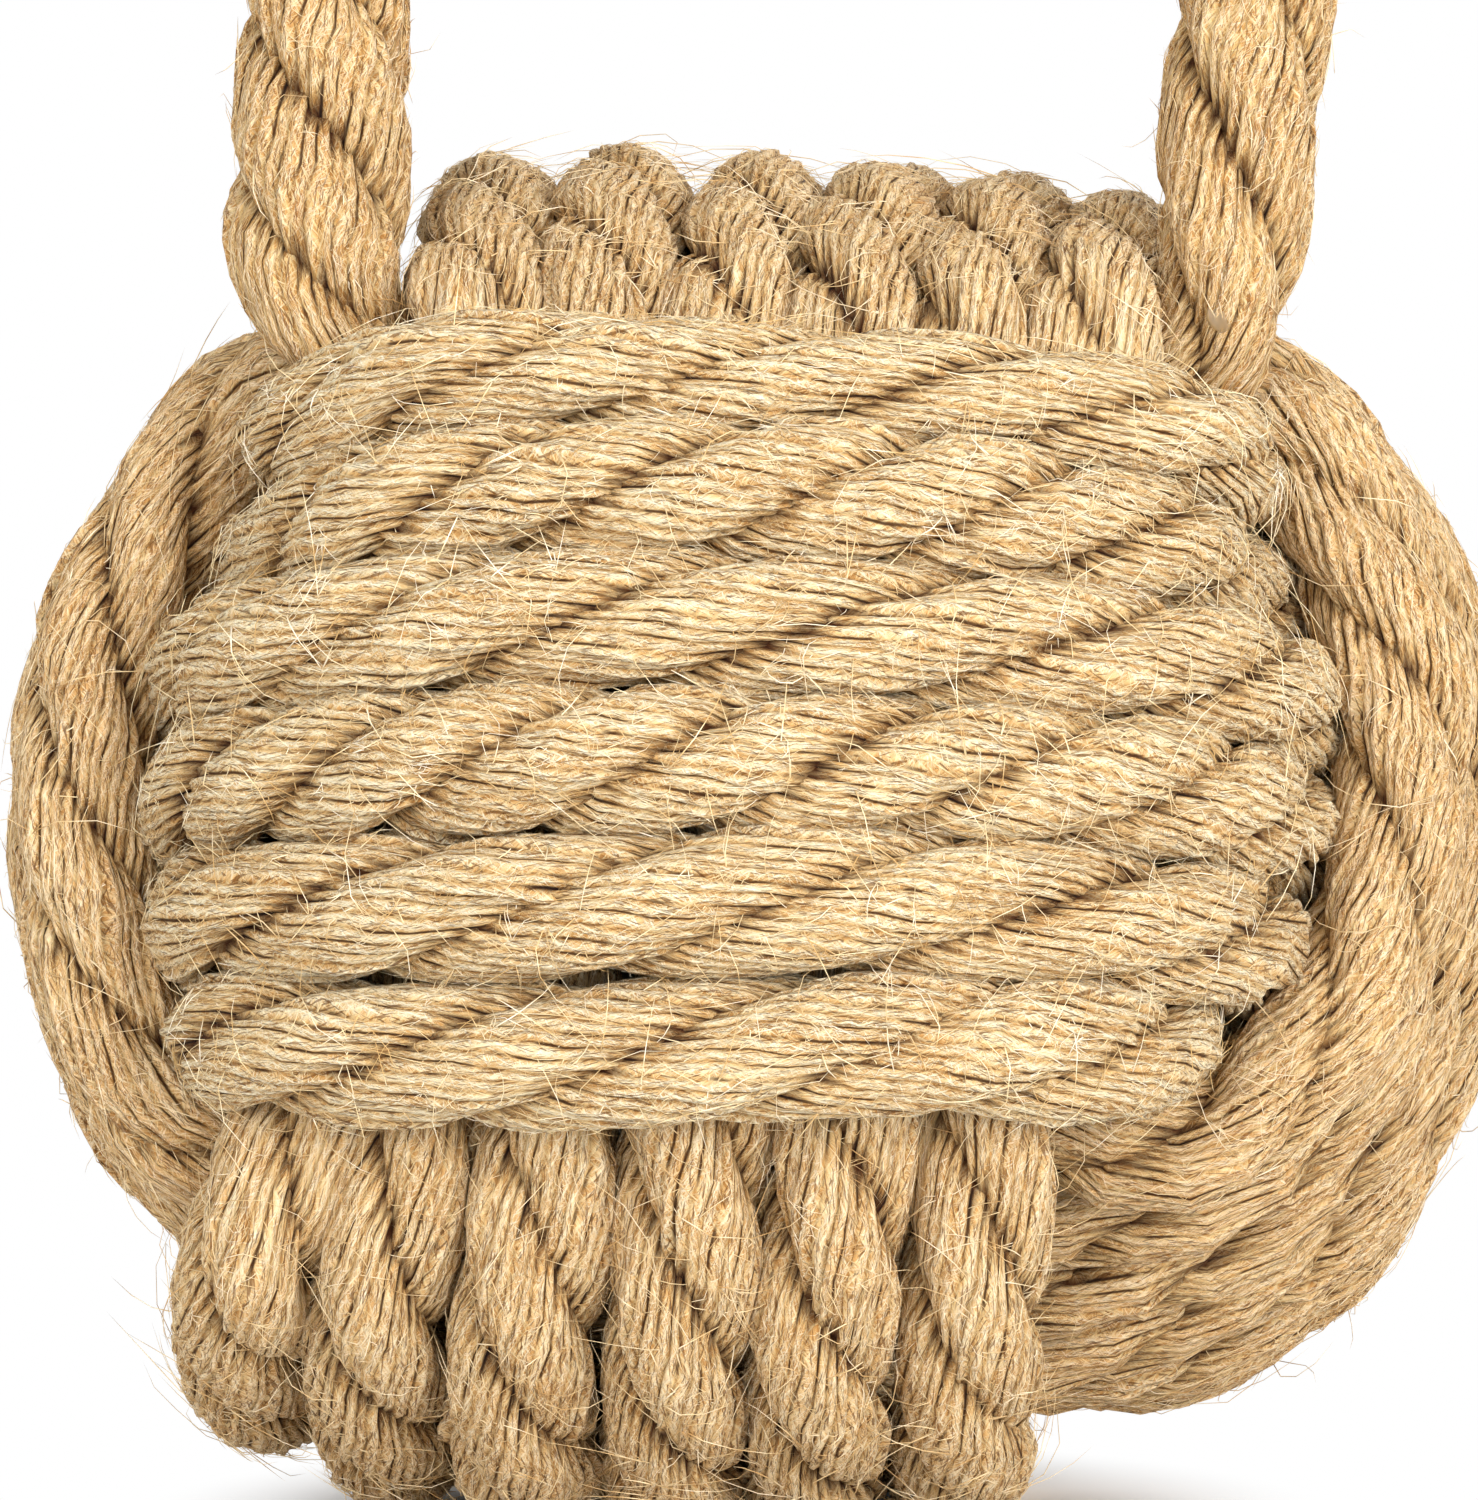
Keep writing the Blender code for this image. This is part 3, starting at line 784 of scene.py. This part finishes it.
stacks = {"front": Z, "crown": X, "side": -Y}
fibre_roots = {}
for name in names:
    line = eased(evenly(settled_lines[name], FINE_SPACING), 2.5)
    run = length_of(line)
    degrees = np.interp(run / run[-1], np.linspace(0, 1, len(courses[name][1])), courses[name][1])
    stack = to_floor(stacks[name]) - KNOT_MIDDLE
    if name == "front":
        twist = groove_twist(run, front_faces(run, line, degrees))
    else:
        twist = even_twist(run, LAY)
    twist = eased(twist, 12) + drifting(run, *TWIST_DRIFT, 1, chance)[:, 0]
    shown = passed(np.abs(np.cos(np.radians(degrees))), *SHOWN_FROM)
    rings = ring_places(run, shown)
    drift = drifting(run, *ROPE_DRIFT, 3, chance)
    line = line + np.stack([np.convolve(column, np.ones(9) / 9, "same") for column in drift.T], -1)
    out, side = carried(line, stack)
    centre, out, side = (read_at(rings, run, values) for values in (line, out, side))
    twist = np.interp(rings, run, twist)
    shown = np.interp(rings, run, shown)
    width = np.minimum(1, np.minimum(rings, rings[-1] - rings) / ROPE_END_TAPER)[:, None]
    width = np.sqrt(np.maximum(width, LEAST_AT_END))
    if name == "crown":
        width = width * (1 + CROWN_FULLER * shown[:, None])
    if name == "front":
        pulled = np.interp(rings / run[-1], np.linspace(0, 1, len(tight)), tight)
        width = width * (1 - TIGHT_TURN_SLIMMER * pulled[:, None])
    fibre_roots[name] = []
    for number in range(STRANDS):
        grid, crest, middle = strand_grid(
            centre, out, side, twist, width, number, chance, YARNS, rings
        )
        grid[..., 2] = np.maximum(grid[..., 2], OVER_FLOOR)
        hollow = hollow_of(grid, centre, crest, width)
        made = skin(f"{name}_turns_strand_{number + 1}", grid, hollow, YARNS, rings)
        made.data.materials.append(knot_jute[name])
        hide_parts(f"winding_{name}")
        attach(made, "knot")
        fibre_roots[name].append((grid, centre, middle, shown))

# Loose fibres stand off every yarn: short fuzz, and longer stray hairs that curl back over the
# grooves. Jute is a coarse bast fibre, so each is a stiff pale hair a tenth of a millimetre thick.
FUZZ_THICKNESS = 0.00010
HAIR_THICKNESS = 0.00012
ROOT_DEPTH = 0.00012
STAND_OFF = 0.0006

# A root lies on the rope's outer skin, where it shows and faces outward. For each root that is
# kept, so many places are tried.
TRIES = 12
SHOWN_ENOUGH = 0.4
FACING_ENOUGH = 0.05
OUTER_SKIN = 0.86

# Fibres lean by a usual slant to their yarn, and short ones are commoner. At the rope's edges
# they keep only a share of their length. They thin towards the tip and bend back to the skin.
USUAL_SLANT = 0.25
SHORT_ONES = 1.7
EDGE_SHARE = 0.3
EDGE_FACING = 0.75
TIP_THINNER = 0.6
THICKNESS_RANGE = (0.7, 1.3)
BACK_TO_SKIN = 0.7
ASTRAY = 0.2


def fibre_roots_on(parts, count, chance, ball=True):
    """Random places on the outer side of the strands, with the yarn's direction and outward."""
    place, forward, outward, facing = [], [], [], []
    share = int(count / len(parts))
    tries = share * TRIES
    for grid, centre, middle, shown in parts:
        rings, columns = grid.shape[:2]
        ring = chance.integers(1, rings - 1, tries)
        column = chance.integers(0, columns, tries)
        point = grid[ring, column]
        up = unit(point - middle[ring])
        off = unit(centre[ring] - KNOT_MIDDLE) if ball else up
        stands = np.linalg.norm(point - centre[ring], axis=1)
        reach = np.linalg.norm(grid - centre[:, None], axis=2).max(1)
        keep = (shown[ring] > SHOWN_ENOUGH) & ((up * off).sum(1) > FACING_ENOUGH)
        keep &= stands > OUTER_SKIN * reach[ring]
        keep = np.nonzero(keep)[0][:share]
        along = unit(grid[ring + 1, column] - grid[ring - 1, column])
        place.append(point[keep])
        forward.append(along[keep])
        outward.append(up[keep])
        facing.append((up * off).sum(1)[keep])
    return [np.concatenate(values) for values in (place, forward, outward, facing)]


def fibres(name, roots, chance, lengths, lift, curl, spread, thickness, steps, ball=True):
    """Curved hairs in one mesh: each an arc that starts at its root and thins to a point.

    An arc leaves at a random slant to the yarn and a lift off the surface, and bends by its
    curl towards a second direction: after a share t of a bend b it lies sin(t b) / b of its
    length ahead and (1 - cos(t b)) / b aside. On the knot it is pressed down to a chance height
    over the ball, as packed and handled rope has it. Its section is a triangle.
    """
    place, forward, outward, facing = roots
    count = len(place)
    out = unit(outward - (outward * forward).sum(1, keepdims=True) * forward)
    beside = np.cross(out, forward)
    slant = USUAL_SLANT + chance.normal(0, spread, (count, 1))
    slant = slant + np.pi * chance.integers(0, 2, (count, 1))
    rise = chance.uniform(*lift, (count, 1))
    lies = np.cos(slant) * forward + np.sin(slant) * beside
    first = np.cos(rise) * lies + np.sin(rise) * out
    sidelong = chance.normal(0, 1, (count, 1)) * np.cross(out, lies)
    lean = sidelong - BACK_TO_SKIN * out + ASTRAY * chance.normal(0, 1, (count, 3))
    second = unit(lean - (lean * first).sum(1, keepdims=True) * first)
    third = np.cross(first, second)
    bend = chance.uniform(*curl, (count, 1, 1))
    long = chance.uniform(0, 1, (count, 1, 1)) ** SHORT_ONES
    long = long * (lengths[1] - lengths[0]) + lengths[0]
    long = long * (EDGE_SHARE + (1 - EDGE_SHARE) * smooth(facing / EDGE_FACING))[:, None, None]
    share = np.linspace(0, 1, steps + 1)[None, :, None]
    turned = bend * share
    ahead = np.sin(turned) / bend
    aside = (1 - np.cos(turned)) / bend
    start = place - ROOT_DEPTH * out
    path = start[:, None] + long * (ahead * first[:, None] + aside * second[:, None])
    if ball:
        away = path - KNOT_MIDDLE
        far = np.linalg.norm(away, axis=2, keepdims=True)
        most = far[:, :1] + chance.exponential(STAND_OFF, (count, 1, 1))
        path = KNOT_MIDDLE + away * np.minimum(1, most / far)
    inward = -np.sin(turned) * first[:, None] + np.cos(turned) * second[:, None]
    corner = 2 * np.pi * np.arange(3) / 3
    radius = thickness / 2 * (1 - TIP_THINNER * share[:, :-1])
    radius = radius * chance.uniform(*THICKNESS_RANGE, (count, 1, 1))
    ring = np.cos(corner)[:, None] * inward[:, :-1, None]
    ring = ring + np.sin(corner)[:, None] * third[:, None, None]
    ring = path[:, :-1, None] + radius[..., None] * ring
    points = np.concatenate([ring.reshape(count, -1, 3), path[:, -1:]], 1)
    points[..., 2] = np.maximum(points[..., 2], OVER_FLOOR)
    each = points.shape[1]
    faces = []
    for step in range(steps - 1):
        for k in range(3):
            low, side = 3 * step + k, 3 * step + (k + 1) % 3
            faces += [(low, side, side + 3), (low, side + 3, low + 3)]
    top = 3 * (steps - 1)
    faces += [(top + k, top + (k + 1) % 3, each - 1) for k in range(3)] + [(2, 1, 0)]
    faces = np.array(faces)
    corners = (faces[None] + each * np.arange(count)[:, None, None]).reshape(-1)
    return piece(name, points.reshape(-1, 3), corners, np.arange(0, len(corners), 3))


def loose_jute(name, brown, pale, palest):
    """Single jute fibres: pale straw, a few browner, with a dull silk shine."""
    made, tree, shader = new_material(name)
    place = node(tree, "ShaderNodeTexCoord").outputs["Object"]
    tone = node(tree, "ShaderNodeTexNoise", Vector=place, Scale=260.0, Detail=1.0)
    colour = ramp(tree, tone.outputs["Fac"], (0.35, brown), (0.52, pale), (0.68, palest))
    tree.links.new(colour, shader.inputs["Base Color"])
    shader.inputs["Roughness"].default_value = 0.55
    shader.inputs["Specular IOR Level"].default_value = 0.3
    return made


loose_fibre = loose_jute("loose_jute_fibre", "#D1AA6E", "#F3DFB1", "#FFF4DD")
brown_fibre = loose_jute("loose_jute_fibre_browner", "#C79D64", "#EBD1A0", "#FDEBCB")

# The handle's rope is laid in three strands like the knot's, of thicker yarns, and it bends at
# the corner holes.
HANDLE_YARNS = 20
HANDLE_STEP = 0.0026
HANDLE_END_TAPER = 0.004
HANDLE_HAIRY_FROM = (0.116, 0.006)
END_POINTS = 20

# The height at which a groove crosses the front of each leg, the leg's lay there, and how far
# before and after the groove this lay holds.
LEFT_GROOVE_HEIGHT = 0.1380
LEFT_LAY = 0.049
LEFT_FACE = (0.020, 0.018)
RIGHT_GROOVE_HEIGHT = 0.1340
RIGHT_LAY = 0.056
RIGHT_FACE = (0.018, 0.018)

line = eased(evenly(handle_line, FINE_SPACING), 3)
run = length_of(line)
widths = np.interp(run / run[-1], np.linspace(0, 1, len(handle_width)), handle_width) / ROPE_WIDTH
forward = unit(np.gradient(line, axis=0))
front = -Y
out = unit(front - (forward @ front)[:, None] * forward)
side = np.cross(forward, out)
half = len(run) // 2
left, right = slice(END_POINTS, half), slice(half, -END_POINTS)
left_groove = np.interp(LEFT_GROOVE_HEIGHT, line[left, 2], run[left])
right_groove = np.interp(-RIGHT_GROOVE_HEIGHT, -line[right, 2], run[right])
faces = [
    (left_groove - LEFT_FACE[0], left_groove + LEFT_FACE[1], left_groove, LEFT_LAY),
    (right_groove - RIGHT_FACE[0], right_groove + RIGHT_FACE[1], right_groove, RIGHT_LAY),
]
twist = groove_twist(run, faces)
twist = eased(twist, 6) + drifting(run, *HANDLE_TWIST_DRIFT, 1, chance)[:, 0]
rings = np.linspace(0, run[-1], int(run[-1] / HANDLE_STEP))
centre, out, side = (read_at(rings, run, values) for values in (line, out, side))
twist = np.interp(rings, run, twist)
taper = np.minimum(rings, rings[-1] - rings) / HANDLE_END_TAPER
taper = np.sqrt(np.clip(taper, LEAST_AT_END, 1))
widths = (np.interp(rings, run, widths) * taper)[:, None]
handle_jute = spun_jute("spun_jute_16mm_rope", 1.5, "#A17440", "#C9A46C", "#E7D4A6", "#FFF2E6", 11.0)
handle_roots = []
for number in range(STRANDS):
    grid, crest, middle = strand_grid(
        centre, out, side, twist, widths, number, chance, HANDLE_YARNS, rings
    )
    hollow = hollow_of(grid, centre, crest, widths)
    made = skin(f"handle_strand_{number + 1}", grid, hollow, HANDLE_YARNS, rings)
    made.data.materials.append(handle_jute)
    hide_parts("handle_rope", "handle_tail_left", "handle_tail_right")
    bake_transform(made)
    shown = passed(grid[:, 0, 2], *HANDLE_HAIRY_FROM)
    handle_roots.append((grid, centre, middle, shown))

# The number of loose fibres of each form, and each form: its lengths, its lift off the skin and
# its curl in radians, from least to most, the spread of its slants, its thickness and its steps.
FUZZ_PER_SET = 15500
HAIRS_PER_SET = 8900
HANDLE_FUZZ = 5200
HANDLE_HAIRS = 2600

fuzz = {
    "lengths": (0.0016, 0.0052),
    "lift": (0.0, 0.4),
    "curl": (0.3, 1.8),
    "spread": 0.60,
    "thickness": FUZZ_THICKNESS,
    "steps": 2,
}
stray_hairs = {
    "lengths": (0.0040, 0.0165),
    "lift": (0.0, 0.2),
    "curl": (0.5, 3.0),
    "spread": 1.1,
    "thickness": HAIR_THICKNESS,
    "steps": 4,
}
for name in names:
    for kind, count, form in (
        ("fuzz", FUZZ_PER_SET, fuzz),
        ("stray_hairs", HAIRS_PER_SET, stray_hairs),
    ):
        roots = fibre_roots_on(fibre_roots[name], count, chance)
        made = fibres(f"{name}_{kind}", roots, chance, **form)
        made.data.materials.append(loose_fibre if name == "front" else brown_fibre)
        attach(made, "knot")

# The handle's are shorter, because hands wear them down.
handle_fuzz = {
    "lengths": (0.0014, 0.0036),
    "lift": (0.0, 0.5),
    "curl": (0.3, 1.6),
    "spread": 0.35,
    "thickness": FUZZ_THICKNESS,
    "steps": 2,
}
handle_stray_hairs = {
    "lengths": (0.003, 0.009),
    "lift": (0.0, 0.2),
    "curl": (0.9, 2.6),
    "spread": 0.5,
    "thickness": HAIR_THICKNESS,
    "steps": 3,
}
for kind, count, form in (
    ("fuzz", HANDLE_FUZZ, handle_fuzz),
    ("stray_hairs", HANDLE_HAIRS, handle_stray_hairs),
):
    roots = fibre_roots_on(handle_roots, count, chance, ball=False)
    made = fibres(f"handle_{kind}", roots, chance, **form, ball=False)
    made.data.materials.append(brown_fibre)
    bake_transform(made)

# A dab of clear hot glue holds the right leg where it goes into the knot. It set as a flat,
# cloudy bead on the front of the rope, pressed between two strands.
GLUE_PLACE = (0.0460, 0.1196)
GLUE_HALF = (0.0012, 0.0004, 0.0016)
GLUE_PROUD = 0.0002
POLE_GAP = 0.04

skins = np.concatenate([grid.reshape(-1, 3) for grid, _, _, _ in handle_roots])
close = np.hypot(skins[:, 0] - GLUE_PLACE[0], skins[:, 2] - GLUE_PLACE[1]) < GLUE_HALF[0]
surface = skins[close, 1].min()
upper = np.linspace(POLE_GAP, np.pi - POLE_GAP, 20)[:, None]
turn = -2 * np.pi * np.arange(28)[None] / 28
lumpy = 1 + 0.10 * np.cos(2 * turn + 1.1) * np.sin(upper) + 0.07 * np.cos(3 * turn - 2 * upper)
wide = np.sin(upper)
globe = np.stack([wide * np.cos(turn), wide * np.sin(turn), np.cos(upper) + 0 * turn], -1)
middle = (GLUE_PLACE[0], surface + GLUE_PROUD, GLUE_PLACE[1])
grid = globe * lumpy[..., None] * GLUE_HALF + middle
made = skin("glue_dab", grid, np.zeros(grid.shape[:2]), 4, np.linspace(0, 0.004, len(grid)))
clear_glue, tree, shader = new_material("clear_hot_glue")
shader.inputs["Base Color"].default_value = srgb("#E8D0A0")
shader.inputs["Transmission Weight"].default_value = 0.85
shader.inputs["Specular IOR Level"].default_value = 0.3
shader.inputs["Roughness"].default_value = 0.32
shader.inputs["IOR"].default_value = 1.48
made.data.materials.append(clear_glue)
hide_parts("glue_bead")
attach(made, "knot")


TWINE_COLUMNS = 14
TWINE_END_TAPER = 0.0006


def twine(name, line, hint, width, lay):
    """A laid twine of two plies along a line: one closed skin with two lobes that turn.

    The hint is a direction across the line everywhere, from which the turning is counted.
    """
    run = length_of(line)
    forward = unit(np.gradient(line, axis=0))
    out = unit(hint - (forward * hint).sum(1, keepdims=True) * forward)
    side = np.cross(forward, out)
    column = -2 * np.pi * np.arange(TWINE_COLUMNS)[None] / TWINE_COLUMNS
    lobes = abs(np.cos(column + 2 * np.pi * run[:, None] / lay))
    wide = width / 2 * (0.70 + 0.30 * lobes)
    from_end = np.minimum(run, run[-1] - run)
    wide = wide * np.minimum(1, from_end / TWINE_END_TAPER + 0.05)[:, None]
    grid = line[:, None] + wide[..., None] * (
        np.cos(column)[..., None] * out[:, None] + np.sin(column)[..., None] * side[:, None]
    )
    # The hollow between the two plies gets painted shade from the jute material.
    return skin(name, grid, 0.8 * (1 - lobes), 4, run)


# A seizing of jute twine holds the two ends of the handle's rope together, end to end, under
# the crown turns. It makes six close turns round both ends.
SEIZING_TURNS = 6
SEIZING_PITCH = 0.0021
TWINE_WIDTH = 0.0015

twine_jute = spun_jute("jute_twine", 0.5, "#8F6C40", "#B99461", "#D8BC8A", "#FFFFFF", 19.0)
turn = np.linspace(0, 2 * np.pi * SEIZING_TURNS, 40 * SEIZING_TURNS + 1)
x = SEIZING_PITCH * (turn / (2 * np.pi) - SEIZING_TURNS / 2)
end = (handle_line[0] + handle_line[-1]) / 2
reach = (STRAND_REACH + STRAND_HALF_DEPTH) * TAIL_WIDTH / ROPE_WIDTH
reach = reach + YARN_RELIEF + TWINE_WIDTH / 2
coil = np.stack([x, end[1] + reach * np.cos(turn), end[2] + reach * np.sin(turn)], -1)
made = twine("handle_end_seizing", coil, X, TWINE_WIDTH, 0.0040)
made.data.materials.append(twine_jute)
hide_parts("handle_seizing")
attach(made, "knot")

# The weight: dry sand in a round bag of cotton cloth, packed full, with its neck gathered in
# pleats towards a corner hole at the back and tied off with twine.
BAG_RADIUS = 0.0408
CLOTH = 0.0010
NECK_RADIUS = 0.0060
NECK_LENGTH = 0.0110
PLEATS = 13
PLEAT_DEPTH = 0.16
PLEATS_FROM = (0.45, 0.55)
BAG_COLUMNS = 104
BAG_POLE_GAP = 0.03

bag_middle = np.array([0.0, 0.0, 0.0701])
# In the knot's own leaning axes the neck points as much to the left as back and down.
c, s = np.cos(LEAN_BACK), np.sin(LEAN_BACK)
neck_way = unit(np.array([-1.0, c - s, -c - s]))
beside = unit(np.cross(neck_way, Z))
above = np.cross(neck_way, beside)
steep = np.arcsin(NECK_RADIUS / BAG_RADIUS)
slope = np.linspace(np.pi - BAG_POLE_GAP, steep, 60)
body = np.stack([BAG_RADIUS * np.sin(slope), BAG_RADIUS * np.cos(slope)], -1)
collar = BAG_RADIUS * np.cos(steep)
neck = [(NECK_RADIUS, collar + NECK_LENGTH * share) for share in (0.12, 0.3, 0.5, 0.7, 0.9, 1)]
outline = np.concatenate([body, neck])


def turned_shape(outline, pleat, wall):
    """A shape turned round the neck's direction: its outline set in by the wall and pleated."""
    turn = 2 * np.pi * np.arange(BAG_COLUMNS)[None] / BAG_COLUMNS
    along = outline[:, 1:]
    folds = 1 + pleat[:, None] * np.cos(PLEATS * turn + 0.6 * np.sin(3 * turn))
    lumps = 1 + 0.006 * np.cos(2 * turn + 40 * along) + 0.005 * np.cos(3 * turn - 70 * along)
    wide = (outline[:, :1] - wall[:, None]) * folds * lumps
    return (
        bag_middle
        + outline[:, 1, None, None] * neck_way
        + wide[..., None] * (np.cos(turn)[..., None] * beside + np.sin(turn)[..., None] * above)
    )


# The cloth is one closed skin: up the outside from pole to neck, and back down the inside.
pleat = PLEAT_DEPTH * passed(outline[:, 1] / BAG_RADIUS, *PLEATS_FROM)
inner = outline.copy()[::-1]
below_rim = inner[:, 1] < 0.999 * outline[-1, 1]
inner[:, 1] *= np.where(below_rim, 1 - CLOTH / BAG_RADIUS, 1)
cloth = np.concatenate(
    [
        turned_shape(outline, pleat, np.zeros(len(outline))),
        turned_shape(inner, pleat[::-1], CLOTH * np.minimum(1, inner[:, 0] / NECK_RADIUS)),
    ]
)
made = skin("sand_bag_cloth", cloth, np.zeros(cloth.shape[:2]), 80, np.linspace(0, 0.2, len(cloth)))
cotton, tree, shader = new_material("unbleached_cotton_cloth")
place = node(tree, "ShaderNodeTexCoord").outputs["Object"]
# The real threads are half a millimetre apart, and here one millimetre.
threads = {"Vector": place, "Scale": 310.0, "Distortion": 0.6}
warp, weft = (
    node(tree, "ShaderNodeTexWave", {"bands_direction": way}, **threads).outputs["Fac"]
    for way in "XZ"
)
weave = reckoned(tree, "MAXIMUM", warp, weft)
slub = node(tree, "ShaderNodeTexNoise", Vector=place, Scale=180.0, Detail=3.0)
tone = reckoned(tree, "MULTIPLY_ADD", slub.outputs["Fac"], 0.5, 0.25)
tone = reckoned(tree, "MULTIPLY_ADD", weave, 0.4, tone)
colour = ramp(tree, tone, (0.3, "#A99A7C"), (0.6, "#CFC3A8"), (0.95, "#E4DAC4"))
tree.links.new(colour, shader.inputs["Base Color"])
shader.inputs["Roughness"].default_value = 0.9
bump = node(tree, "ShaderNodeBump", Height=weave, Strength=0.5, Distance=0.0002)
tree.links.new(bump.outputs["Normal"], shader.inputs["Normal"])
made.data.materials.append(cotton)
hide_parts("sand_bag")
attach(made, "knot")

# The sand fills the bag up to its neck, where its top is flat. Its skin is rough with grains.
SAND_CLEARANCE = 0.0002
GRAIN_ROUGHNESS = 0.00008

slope = np.linspace(np.pi - BAG_POLE_GAP, np.arcsin(0.15), 60)
heap = (BAG_RADIUS - CLOTH - SAND_CLEARANCE) * np.stack([np.sin(slope), np.cos(slope)], -1)
grains = turned_shape(heap, np.zeros(len(heap)), np.zeros(len(heap)))
grains = grains + GRAIN_ROUGHNESS * chance.standard_normal(grains.shape)
made = skin("sand_in_the_bag", grains, np.zeros(grains.shape[:2]), 80, np.linspace(0, 0.13, len(grains)))
dry_sand, tree, shader = new_material("dry_sand")
place = node(tree, "ShaderNodeTexCoord").outputs["Object"]
grain = node(tree, "ShaderNodeTexVoronoi", Vector=place, Scale=1100.0)
apart = node(tree, "ShaderNodeSeparateXYZ", Vector=grain.outputs["Color"])
grain_colours = ((0.05, "#6B5336"), (0.35, "#B4986B"), (0.7, "#D2BA8E"), (0.95, "#EDE2C8"))
colour = ramp(tree, apart.outputs["X"], *grain_colours)
tree.links.new(colour, shader.inputs["Base Color"])
shader.inputs["Roughness"].default_value = 0.85
dip = grain.outputs["Distance"]
bump = node(tree, "ShaderNodeBump", {"invert": True}, Height=dip, Strength=0.8, Distance=0.0004)
tree.links.new(bump.outputs["Normal"], shader.inputs["Normal"])
made.data.materials.append(dry_sand)
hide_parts("sand_filling")
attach(made, "knot")

# The tie goes twice round the pleats of the neck, and its two short ends stand off.
PLEATED_NECK = 1.14
TIE_WIDTH = 0.0020
TIE_TURNS = 2
TIE_PITCH = 0.0021
TIE_END_TURN = 2.0
TIE_END_STANDS_OFF = 0.0018

turn = np.linspace(-TIE_END_TURN, 2 * np.pi * TIE_TURNS + TIE_END_TURN, 180)
past = np.maximum(0, np.maximum(-turn, turn - 2 * np.pi * TIE_TURNS))
wide = NECK_RADIUS * PLEATED_NECK + TIE_WIDTH / 2 + TIE_END_STANDS_OFF * past
rise = collar + NECK_LENGTH / 2
rise = rise + TIE_PITCH * (turn / (2 * np.pi) - TIE_TURNS / 2)
ring = np.cos(turn)[:, None] * beside + np.sin(turn)[:, None] * above
cord = bag_middle + rise[:, None] * neck_way + wide[:, None] * ring
made = twine("bag_neck_tie", cord, neck_way, TIE_WIDTH, 0.0050)
made.data.materials.append(twine_jute)
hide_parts("bag_tie")
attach(made, "knot")

# Floor, backdrop and light. A wide white floor lies under the knot, lit by three soft boxes in
# front, one above and one behind, in a pale room. The camera sees the floor and its shadow
# close to the knot's middle, and plain white farther out.
FLOOR_SIZE = 60
SHADOW_SEEN_TO = 0.030
WHITE_FROM = 0.062

bpy.ops.mesh.primitive_grid_add(size=FLOOR_SIZE, x_subdivisions=2, y_subdivisions=2)
floor = bpy.context.object
floor.name = "floor"
paper, tree, shader = new_material("matt_white_paper")
shader.inputs["Base Color"].default_value = srgb("#F7F7F7")
shader.inputs["Roughness"].default_value = 0.9
place = node(tree, "ShaderNodeTexCoord").outputs["Object"]
far = node(tree, "ShaderNodeVectorMath", {"operation": "LENGTH"}, i0=place)
outside = eased_in(tree, far.outputs["Value"], SHADOW_SEEN_TO, WHITE_FROM)
seen = node(tree, "ShaderNodeLightPath").outputs["Is Camera Ray"]
seen = reckoned(tree, "MULTIPLY", outside, seen)
white = node(tree, "ShaderNodeEmission", Color=(1, 1, 1, 1), Strength=1.0)
mixed = node(tree, "ShaderNodeMixShader", i0=seen, i1=shader.outputs[0], i2=white.outputs[0])
tree.links.new(mixed.outputs[0], tree.nodes["Material Output"].inputs["Surface"])
floor.data.materials.append(paper)

world = bpy.data.worlds.new("pale_room")
world.use_nodes = True
bpy.context.scene.world = world
tree = world.node_tree
room = tree.nodes["Background"]
room.inputs["Color"].default_value = (1, 1, 1, 1)
room.inputs["Strength"].default_value = 0.35
backdrop = node(tree, "ShaderNodeBackground", Color=(1, 1, 1, 1), Strength=1.0)
seen = node(tree, "ShaderNodeLightPath").outputs["Is Camera Ray"]
mixed = node(tree, "ShaderNodeMixShader", i0=seen, i1=room.outputs[0], i2=backdrop.outputs[0])
tree.links.new(mixed.outputs[0], tree.nodes["World Output"].inputs["Surface"])

LAMPS_AIM_AT = (0, 0, 0.09)


def soft_box(name, place, size, power):
    """A square area lamp that faces the knot."""
    lamp = bpy.data.lights.new(name, "AREA")
    lamp.size = size
    lamp.energy = power
    made = bpy.data.objects.new(name, lamp)
    made.location = place
    aim = np.array(LAMPS_AIM_AT) - np.array(place)
    made.rotation_euler = Vector(aim).to_track_quat("-Z", "Y").to_euler()
    bpy.context.scene.collection.objects.link(made)


soft_box("soft_box_left", (-0.75, -0.95, 0.42), 0.7, 7.0)
soft_box("soft_box_right", (0.75, -1.0, 0.32), 0.7, 16.0)
soft_box("soft_box_low", (-0.10, -1.20, 0.17), 0.6, 3.8)
soft_box("soft_box_above", (0.0, -0.30, 1.3), 0.9, 6)
soft_box("soft_box_behind", (0.45, 1.15, 0.60), 0.7, 7)

# Settings of the picture.
bpy.context.scene.view_settings.view_transform = "Standard"
